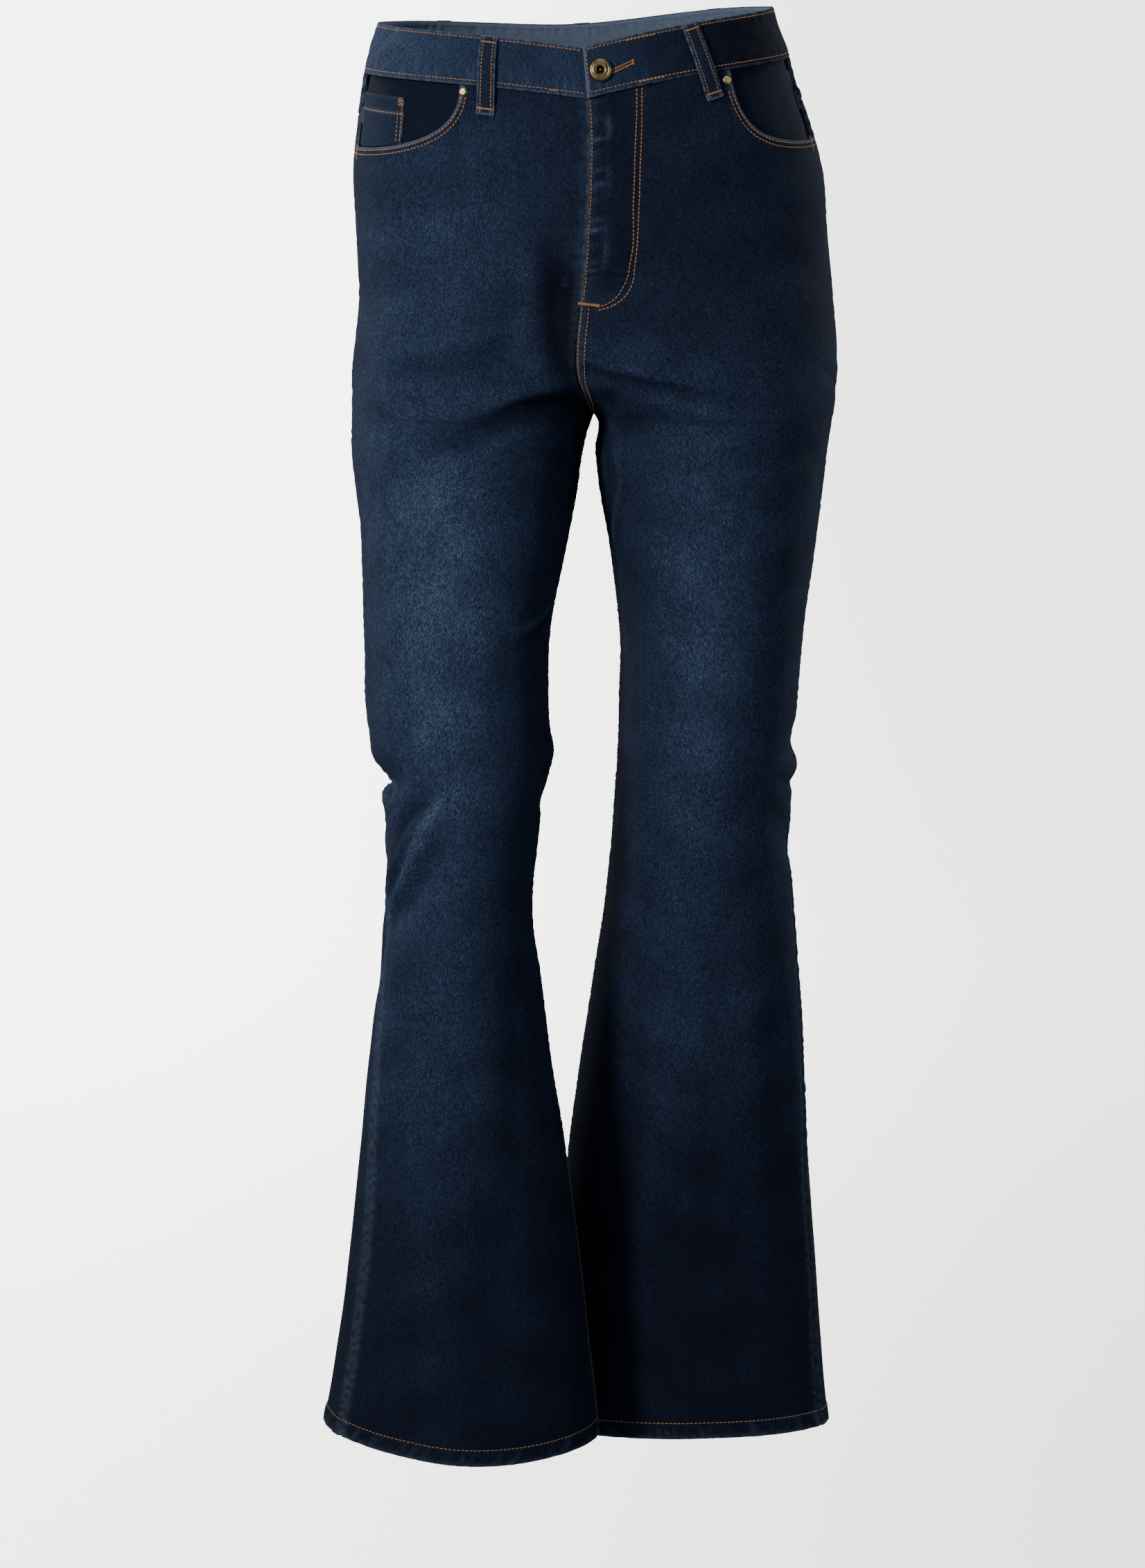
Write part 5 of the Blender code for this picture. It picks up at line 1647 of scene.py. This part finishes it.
def sew_band(sewing):
    """Round both edges, down the lapped end, and the heavier rows near the button."""
    label = "thread_band"
    turn = np.linspace(math.radians(-1.0), math.radians(-358.7), 2400)
    for level in BAND_ROWS:
        sewing.row(label, on_band(turn, level), pitch=0.0030, radius=0.00036)
    level = np.linspace(*BAND_ROWS, 80)
    end = np.full_like(level, -FULL_TURN + 0.0026 / BAND_RADIUS)
    sewing.row(label, on_band(end, level), pitch=0.0030)
    for first, last, level in HEAVY_ROWS:
        turn = np.radians(np.linspace(first, last, 60) - (360 if first > 0 else 0))
        sewing.row(label, on_band(turn, level), pitch=0.0028, radius=0.00050, fill=0.9)


# Its two ends, as turn and level.
BUTTONHOLE = ((math.radians(11.0 - 360), -0.0036), (math.radians(19.4 - 360), -0.0002))


def sew_buttonhole(sewing):
    """Close zigzag stitches round the slot, which opens beside the button."""
    label = "thread_buttonhole"
    first, last = np.array(BUTTONHOLE)
    turn, level = (first + (last - first) * np.linspace(0, 1, 60)[:, None]).T
    for way in (-1, 1):
        path = on_band(turn, level + way * 0.0011)
        sewing.satin(label, path, 0.0016, pitch=0.00075, radius=0.00027, slant=0.45)
    tip = on_band(np.full(12, last[0]), last[1] + np.linspace(-0.0016, 0.0016, 12))
    sewing.satin(label, tip, 0.0022, pitch=0.0006, radius=0.00028, slant=0.4)


def sew_loops(sewing):
    for loop in LOOPS:
        def path(share, across):
            return lambda lift: loop_points(loop, share, across, LOOP_WALL + lift)

        label = f"thread_loop_{loop.name}"
        for across in (-0.0036, 0.0036):
            sewing.row(label, path(np.linspace(0.015, 0.985, 90), across), pitch=0.0026)
        for share in (0.085, 0.925):
            sewing.satin(label, path(share, np.linspace(-0.0052, 0.0052, 30)), 0.0014)


# ---------------------------------------------------------------- metal

def set_square(piece, turn, level, lift):
    """Stand a turned piece on the cloth. turn is in degrees."""
    at = np.radians([turn]), np.array([level])
    foot = around(*at, lift)[0]
    normal = Vector(around(*at, lift + 0.01)[0] - foot)
    piece.location = foot
    piece.rotation_euler = normal.to_track_quat("Z", "Y").to_euler()


def lathe(name, profile, materials, steps=72, starts=(0,)):
    """A turned piece. starts gives the profile step from which each material runs."""
    turn = np.linspace(0, FULL_TURN, steps, endpoint=False)
    rings = profile[1:-1]
    points = [np.array([[0, 0, profile[0][1]]])]
    for r, h in rings:
        points.append(np.stack([r * np.cos(turn), r * np.sin(turn), np.full(steps, h)], axis=1))
    points.append(np.array([[0, 0, profile[-1][1]]]))
    points = np.concatenate(points)
    last = len(points) - 1
    faces, index = [], []
    for k in range(steps):
        n = (k + 1) % steps
        faces.append((0, 1 + k, 1 + n))
        faces.append((last, last - steps + n, last - steps + k))
        index += [0, len(materials) - 1]
    for row in range(len(rings) - 1):
        base = 1 + row * steps
        for k in range(steps):
            n = (k + 1) % steps
            faces.append((base + k, base + steps + k, base + steps + n, base + n))
            index.append(sum(row + 1 >= start for start in starts) - 1)
    return mesh_piece(name, points, faces, materials, np.array(index, np.int32), sharp=38)


BUTTON_PROFILE = (       # radius and height
    (0.0, 0.0032), (0.0005, 0.0031), (0.0009, 0.0027), (0.0011, 0.0018), (0.0014, 0.0010),
    (0.0021, 0.0008), (0.0026, 0.0009), (0.0028, 0.0016), (0.0029, 0.0030), (0.0031, 0.0037),
    (0.0034, 0.0040), (0.0040, 0.0041), (0.0056, 0.0041), (0.0058, 0.0040), (0.0060, 0.0039),
    (0.0062, 0.0040), (0.0068, 0.0040), (0.0075, 0.0037), (0.0081, 0.0031), (0.0085, 0.0023),
    (0.0084, 0.0013), (0.0079, 0.0004), (0.0070, 0.0), (0.0, 0.0),
)
BUTTON_STARTS = (0, 3, 8)
RIVET_PROFILE = (
    (0.0, 0.0016), (0.0006, 0.00158), (0.0011, 0.00145), (0.0013, 0.0011), (0.0017, 0.00105),
    (0.0022, 0.0012), (0.0027, 0.0010), (0.0031, 0.0006), (0.0034, 0.0002), (0.0034, 0.0),
    (0.0, 0.0),
)


TOOTH_STEP = 0.0017
BOX = ((0, 1, 3, 2), (4, 6, 7, 5), (0, 4, 5, 1), (2, 3, 7, 6), (0, 2, 6, 4), (1, 5, 7, 3))


def zip_teeth(material):
    """Two rows of small boxes, one half a step lower than the other."""
    level = np.arange(WAIST_SEAM - 0.004, FLY_END + ZIP_SHORT + 0.003, -TOOTH_STEP)
    up = np.array([0.0, 0.0, 1.0])
    points = []
    for row, turn in enumerate((2.45, 3.55)):
        at = np.radians(np.full(len(level), turn)), level - row * TOOTH_STEP / 2
        centre = around(*at, -0.0020)
        out = unit(around(*at, -0.0010) - centre)
        side = np.cross(up, out)
        corners = [
            centre + side * a + up * b + out * c
            for a in (-0.0013, 0.0013) for b in (-0.0004, 0.0004) for c in (-0.0004, 0.0004)
        ]
        points.append(np.stack(corners, axis=1).reshape(-1, 3))
    points = np.concatenate(points)
    faces = (np.arange(0, len(points), 8)[:, None, None] + np.array(BOX)).reshape(-1, 4).tolist()
    return mesh_piece("zip_teeth", points, faces, [material])


# ---------------------------------------------------------------- materials

class Nodes:
    """A material's nodes, added and linked one by one."""

    def __init__(self, name):
        self.material = bpy.data.materials.new(name)
        self.material.use_nodes = True
        self.tree = self.material.node_tree
        self.shader = self.tree.nodes["Principled BSDF"]

    def add(self, kind, inputs=None, **settings):
        node = self.tree.nodes.new(kind)
        for key, value in settings.items():
            setattr(node, key, value)
        for key, value in (inputs or {}).items():
            self.give(value, node.inputs[key])
        return node

    def give(self, value, socket):
        """A socket takes a number, a colour or another node's output."""
        if isinstance(value, bpy.types.NodeSocket):
            self.tree.links.new(value, socket)
        elif socket.type == "RGBA":
            socket.default_value = (*value[:3], 1.0)
        else:
            socket.default_value = value

    def attribute(self, name, output="Fac"):
        return self.add("ShaderNodeAttribute", attribute_name=name).outputs[output]

    def own_place(self):
        return self.add("ShaderNodeTexCoord").outputs["Object"]

    def stretched(self, vector, stretch):
        return self.add("ShaderNodeMapping", {"Vector": vector, "Scale": stretch}).outputs[0]

    def noise(self, vector, stretch=(1, 1, 1), detail=2.0, roughness=0.5, scale=1.0):
        inputs = {"Scale": scale, "Detail": detail, "Roughness": roughness}
        inputs["Vector"] = self.stretched(vector, stretch)
        return self.add("ShaderNodeTexNoise", inputs).outputs["Fac"]

    def maths(self, operation, first, second, clamp=False):
        inputs = {0: first, 1: second}
        return self.add("ShaderNodeMath", inputs, operation=operation, use_clamp=clamp).outputs[0]

    def scaled(self, value, factor, plus):
        """value times factor, plus another."""
        return self.maths("ADD", self.maths("MULTIPLY", value, factor), plus)

    def eased(self, value, low, high, first=0.0, last=1.0):
        inputs = {"Value": value, "From Min": low, "From Max": high, "To Min": first, "To Max": last}
        return self.add("ShaderNodeMapRange", inputs, interpolation_type="SMOOTHSTEP").outputs[0]

    def ramp(self, factor, stops):
        node = self.add("ShaderNodeValToRGB", {0: factor})
        elements = node.color_ramp.elements
        while len(elements) < len(stops):
            elements.new(0.5)
        for element, (position, colour) in zip(elements, stops):
            element.position = position
            element.color = (*colour, 1.0)
        return node.outputs[0]

    def mix(self, factor, first, second):
        node = self.add("ShaderNodeMix", {"Factor": factor}, data_type="RGBA")
        self.give(first, node.inputs["A"])
        self.give(second, node.inputs["B"])
        return node.outputs["Result"]

    def bump(self, height, distance, strength):
        inputs = {"Height": height, "Distance": distance, "Strength": strength}
        self.set(Normal=self.add("ShaderNodeBump", inputs).outputs[0])

    def set(self, **values):
        """The surface's own settings, and the finished material."""
        for key, value in values.items():
            self.give(value, self.shader.inputs[key.replace("_", " ")])
        return self.material


INDIGO_STOPS = (
    (0.0, (0.0022, 0.0030, 0.0075)),
    (0.25, (0.0068, 0.0105, 0.0250)),
    (0.50, (0.0172, 0.0292, 0.0640)),
    (0.75, (0.0400, 0.0640, 0.1240)),
    (1.0, (0.1050, 0.1500, 0.2350)),
)
WORN = (0.230, 0.310, 0.430)
INSIDE_STOPS = (
    (0.30, (0.055, 0.080, 0.130)),
    (0.55, (0.110, 0.145, 0.210)),
    (0.80, (0.200, 0.245, 0.330)),
)


def denim_material(name, darker=0.0):
    """Indigo twill: slubs down the cloth, mottling, fading with painted shade in the folds' hollows,
    wear, and the weave's diagonal.
    """
    nodes = Nodes(name)
    cloth_at = nodes.attribute("cloth", "Vector")
    slubs = nodes.noise(cloth_at, (2100, 420, 1), 2.0, 0.6)
    weft = nodes.noise(cloth_at, (420, 2000, 1))
    grains = nodes.noise(cloth_at, (2700, 1900, 1), 1.0)
    mottle = nodes.noise(cloth_at, (60, 36, 1), 4.0, 0.6)
    # The fade attribute carries the fading and, on the leg panels, painted shade in the folds' hollows.
    fade = nodes.attribute("fade")
    parts = ((slubs, 1.25), (weft, 0.35), (grains, 0.95), (mottle, 0.26))
    weave = nodes.maths("ADD", 0.0, -0.5 * sum(amount for noise, amount in parts))
    for noise, amount in parts:
        weave = nodes.scaled(noise, amount, weave)
    showing = nodes.scaled(fade, 1.7, 0.18)
    total = nodes.scaled(weave, showing, nodes.maths("ADD", fade, -darker))
    frayed = nodes.maths("MULTIPLY", nodes.attribute("edge"), nodes.scaled(grains, 1.1, 0.10))
    worn = nodes.maths("MULTIPLY", frayed, 0.62, clamp=True)
    twill = nodes.stretched(cloth_at, (210, 210, 1))
    twill = {"Vector": twill, "Scale": 1.0, "Distortion": 1.2}
    wave = nodes.add("ShaderNodeTexWave", twill, bands_direction="DIAGONAL")
    height = nodes.scaled(wave.outputs["Fac"], 0.5, slubs)
    nodes.bump(nodes.scaled(grains, 0.7, height), 0.00045, 0.8)
    return nodes.set(
        Base_Color=nodes.mix(worn, nodes.ramp(total, INDIGO_STOPS), WORN),
        Roughness=nodes.scaled(mottle, 0.10, 0.80), Specular_IOR_Level=0.08,
        Sheen_Weight=0.02, Sheen_Roughness=0.4, Sheen_Tint=(0.30, 0.45, 0.80),
    )


def inside_material():
    """The cloth's back, where the pale weft shows."""
    nodes = Nodes("denim_inside")
    cloth_at = nodes.attribute("cloth", "Vector")
    weft = nodes.noise(cloth_at, (300, 1700, 1), 3.0)
    slubs = nodes.noise(cloth_at, (1500, 120, 1))
    total = nodes.scaled(weft, 0.6, nodes.maths("MULTIPLY", slubs, 0.4))
    nodes.bump(total, 0.0004, 0.8)
    return nodes.set(
        Base_Color=nodes.ramp(total, INSIDE_STOPS), Roughness=nodes.scaled(slubs, 0.08, 0.86),
        Specular_IOR_Level=0.2,
    )


def thread_material(name, dark, pale):
    nodes = Nodes(name)
    fine, broad = (nodes.noise(nodes.own_place(), scale=scale) for scale in (900.0, 45.0))
    total = nodes.scaled(fine, 0.5, nodes.maths("MULTIPLY", broad, 0.5))
    nodes.bump(fine, 0.0002, 0.6)
    return nodes.set(
        Base_Color=nodes.ramp(total, ((0.3, dark), (0.7, pale))),
        Roughness=nodes.scaled(fine, 0.12, 0.52), Specular_IOR_Level=0.35, Sheen_Weight=0.15,
    )


def brass_material(name, dark, pale, scale=420.0):
    nodes = Nodes(name)
    tarnish = nodes.noise(nodes.own_place(), detail=4.0, roughness=0.65, scale=scale)
    nodes.bump(nodes.noise(nodes.own_place(), (1, 3.5, 1), scale=scale * 3.2), 0.00012, 0.6)
    return nodes.set(
        Base_Color=nodes.ramp(tarnish, ((0.35, dark), (0.62, pale))),
        Roughness=nodes.scaled(tarnish, 0.34, 0.18), Metallic=1.0,
    )


def tape_material():
    nodes = Nodes("zip_tape")
    ribs = nodes.noise(nodes.attribute("cloth", "Vector"), (700, 2600, 1))
    nodes.bump(ribs, 0.0003, 0.8)
    colour = nodes.ramp(ribs, ((0.3, (0.010, 0.014, 0.026)), (0.7, (0.030, 0.040, 0.066))))
    return nodes.set(Base_Color=colour, Roughness=nodes.scaled(ribs, 0.10, 0.74))


# ---------------------------------------------------------------- the room

ROOM_PROFILE = (
    (0.0, -1.50), (3.0, -1.50), (6.0, -1.50), (8.5, -1.35), (10.6, -0.70), (12.0, 0.8), (12.4, 3.0),
    (11.4, 6.5), (8.0, 9.5), (4.0, 10.9), (0.0, 11.2),
)
ROOM_PALE = (0.97, 0.97, 0.95)
ROOM_DARK = (0.50, 0.495, 0.48)
ROOM_GLOW = 6.3
AIM = (0.0, 0.0, -0.45)
LIGHTS = (               # name, place, aim, size, power and colour
    ("key", (-3.0, -3.7, 1.20), AIM, 0.9, 205, (1.0, 0.98, 0.955)),
    ("fill", (3.6, -2.2, 0.1), AIM, 2.6, 30, (0.92, 0.96, 1.0)),
    ("low", (-1.4, -4.2, -1.0), (0.1, 0.0, -0.8), 2.2, 9, (0.92, 0.96, 1.0)),
    ("top", (0.3, -0.6, 3.2), AIM, 2.0, 14, (1.0, 1.0, 1.0)),
    ("back_left", (-2.9, 3.0, 1.2), AIM, 1.6, 95, (1.0, 0.99, 0.97)),
    ("back_right", (3.1, 2.8, 1.0), AIM, 1.6, 80, (0.97, 0.98, 1.0)),
)


def room():
    """A pale seamless room that glows, with painted light: paler on the left, where the key lamp
    stands, and a little darker to the right and towards the front. It lights nothing.
    """
    nodes = Nodes("room_painted_glow")
    split = nodes.add("ShaderNodeSeparateXYZ", {0: nodes.own_place()})
    across = nodes.eased(split.outputs["X"], -0.9, 0.9)
    back = nodes.eased(split.outputs["Y"], 0.6, 4.4, 0.30, 0.0)
    # The glow is painted light: ROOM_PALE on the left grades to ROOM_DARK on the right, and goes up to
    # 0.3 towards black nearer the front.
    glow = nodes.mix(back, nodes.mix(across, ROOM_PALE, ROOM_DARK), (0.0, 0.0, 0.0))
    painted_glow = nodes.set(
        Base_Color=(0.12, 0.12, 0.12), Roughness=0.95, Specular_IOR_Level=0.0,
        Emission_Color=glow, Emission_Strength=ROOM_GLOW,
    )
    turned = lathe("room", ROOM_PROFILE, [painted_glow], steps=96)
    smooth = turned.modifiers.new("smooth", "SUBSURF")
    smooth.levels = 1
    smooth.render_levels = 2
    turned.visible_diffuse = False
    turned.visible_glossy = False
    turned.visible_shadow = False


def lights():
    """Soft round lamps that the camera doesn't see, and a little light from all around."""
    for name, at, aim, size, power, colour in LIGHTS:
        data = bpy.data.lights.new(name, "AREA")
        data.shape = "DISK"
        data.size = size
        data.energy = power
        data.color = colour
        lamp = in_scene(name, data)
        lamp.location = at
        lamp.rotation_euler = (Vector(aim) - Vector(at)).to_track_quat("-Z", "Y").to_euler()
        lamp.visible_camera = False
    world = bpy.data.worlds.new("air")
    world.use_nodes = True
    background = world.node_tree.nodes["Background"]
    background.inputs["Color"].default_value = (0.85, 0.92, 1.0, 1.0)
    background.inputs["Strength"].default_value = 0.15
    bpy.context.scene.world = world


def camera():
    data = bpy.data.cameras.new("camera")
    data.lens = 114.54
    data.sensor_width = 36.0
    data.clip_end = 60.0
    eye = in_scene("camera", data)
    eye.location = (-0.003, -3.8, 0.05)
    eye.rotation_euler = (math.radians(80.7582), 0.0, 0.0)
    bpy.context.scene.camera = eye


# ---------------------------------------------------------------- the whole

def finish_piece(piece):
    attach(piece, "root")
    return piece


def build():
    inside = inside_material()
    both = [denim_material("denim_fine"), inside]
    patches = [denim_material("denim_patch", 0.04), inside]
    tapes = [tape_material()] * 2
    antique = brass_material("brass_antique", (0.200, 0.150, 0.070), (0.400, 0.310, 0.150), 160.0)
    bright = brass_material("brass_bright", (0.300, 0.200, 0.080), (0.720, 0.520, 0.240))
    blackened = brass_material("brass_blackened", (0.020, 0.016, 0.010), (0.060, 0.046, 0.026))
    for side, word in SIDES.items():
        for make in (front_piece, back_piece, yoke_piece):
            finish_piece(make(side, both))
        for make in (pocket_piece, facing_piece):
            finish_piece(make(side, patches))
        stud = lathe(f"rivet_{word}_fine", RIVET_PROFILE, [bright], 36)
        turn, level = RIVETS[side]
        set_square(stud, side * turn, level, LAYER_GAP)
        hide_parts(f"rivet_{word}")
        finish_piece(stud)
    finish_piece(coin_piece(patches))
    finish_piece(waistband_piece(both))
    for loop in LOOPS:
        finish_piece(loop_piece(loop, both))
    for piece in seam_backings([inside, inside]):
        finish_piece(piece)
    zip_end = FLY_END + ZIP_SHORT
    piece = strip_piece("zip_tapes", "zip", ZIP_TURNS, zip_end, ZIP_SUNK, ZIP_WALL, tapes, PLAIN_FADE)
    finish_piece(piece)
    shield = "denim_shield", "fly_shield", SHIELD_TURNS, FLY_END, SHIELD_SUNK, WALL
    finish_piece(strip_piece(*shield, both, FACING_FADE))
    finish_piece(zip_teeth(bright))
    stud = lathe("button_fine", BUTTON_PROFILE, [bright, blackened, antique], 72, BUTTON_STARTS)
    set_square(stud, BUTTON_TURN, BUTTON_LEVEL, BAND_PROUD + BAND_WALL + 2 * LAYER_GAP)
    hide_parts("button")
    finish_piece(stud)
    sewing = Sewing()
    for sew in (
        sew_legs, sew_middle, sew_yokes, sew_scoops, sew_pockets, sew_coin, sew_band, sew_buttonhole,
        sew_loops,
    ):
        sew(sewing)
    orange = thread_material("thread_orange", (0.300, 0.125, 0.038), (0.520, 0.250, 0.085))
    for piece in sewing.build(orange):
        finish_piece(piece)


# The cut of each piece of cloth: width, length, area of one layer, how it is held and what it
# rests on.
CUTS = """
    denim_front_right             0.303  1.135 0.2284 hung   denim_waistband
    denim_front_left              0.304   1.14 0.2491 hung   denim_waistband
    denim_back_right              0.341  1.101 0.2712 hung   denim_yoke_right
    denim_back_left               0.339  1.103  0.284 hung   denim_yoke_left
    denim_yoke_right              0.256  0.072 0.0123 hung   denim_waistband
    denim_yoke_left               0.249  0.072 0.0121 hung   denim_waistband
    denim_back_pocket_right       0.143  0.156 0.0195 laid   denim_back_right
    denim_back_pocket_left        0.152  0.171 0.0195 laid   denim_back_left
    denim_facing_right             0.16  0.086 0.0134 hung   denim_waistband
    denim_facing_left              0.14  0.089 0.0116 hung   denim_waistband
    denim_coin_pocket             0.069   0.04 0.0026 laid   denim_facing_right
    denim_waistband                0.91 0.0382 0.0336 folded
    denim_shield                  0.065  0.141 0.0075 hung   denim_waistband
    zip_tapes                    0.0295 0.1313 0.0031 hung   denim_waistband
    denim_allowance_front        0.0146  0.287 0.0035 folded denim_front_right denim_front_left
    denim_allowance_back         0.0145  0.319 0.0037 folded denim_back_right denim_back_left
    denim_allowance_side_right   0.0192  1.017 0.0099 folded denim_front_right denim_back_right
    denim_allowance_side_left      0.02  1.024 0.0113 folded denim_front_left denim_back_left
    denim_allowance_inseam_right 0.0121  0.821 0.0074 folded denim_front_right denim_back_right
    denim_allowance_inseam_left  0.0128  0.822 0.0082 folded denim_front_left denim_back_left
    denim_allowance_yoke_right   0.0125   0.25 0.0031 folded denim_yoke_right denim_back_right
    denim_allowance_yoke_left     0.013  0.245  0.003 folded denim_yoke_left denim_back_left
    denim_allowance_waist         0.848 0.0129 0.0103 folded denim_waistband
"""
LOOP_CUT = "0.014 0.0588 0.00079 folded denim_waistband"


def declare_cloth():
    rows = [row.split() for row in CUTS.split("\n") if row]
    rows += [f"denim_loop_{loop.name} {LOOP_CUT}".split() for loop in LOOPS]


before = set(bpy.data.objects)
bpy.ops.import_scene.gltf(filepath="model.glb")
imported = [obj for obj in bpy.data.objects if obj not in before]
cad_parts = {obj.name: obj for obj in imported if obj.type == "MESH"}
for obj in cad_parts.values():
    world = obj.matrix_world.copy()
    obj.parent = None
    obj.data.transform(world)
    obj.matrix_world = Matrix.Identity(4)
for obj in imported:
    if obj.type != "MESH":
        bpy.data.objects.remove(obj)
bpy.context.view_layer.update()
build()
declare_cloth()
room()
lights()
camera()
bpy.context.view_layer.update()
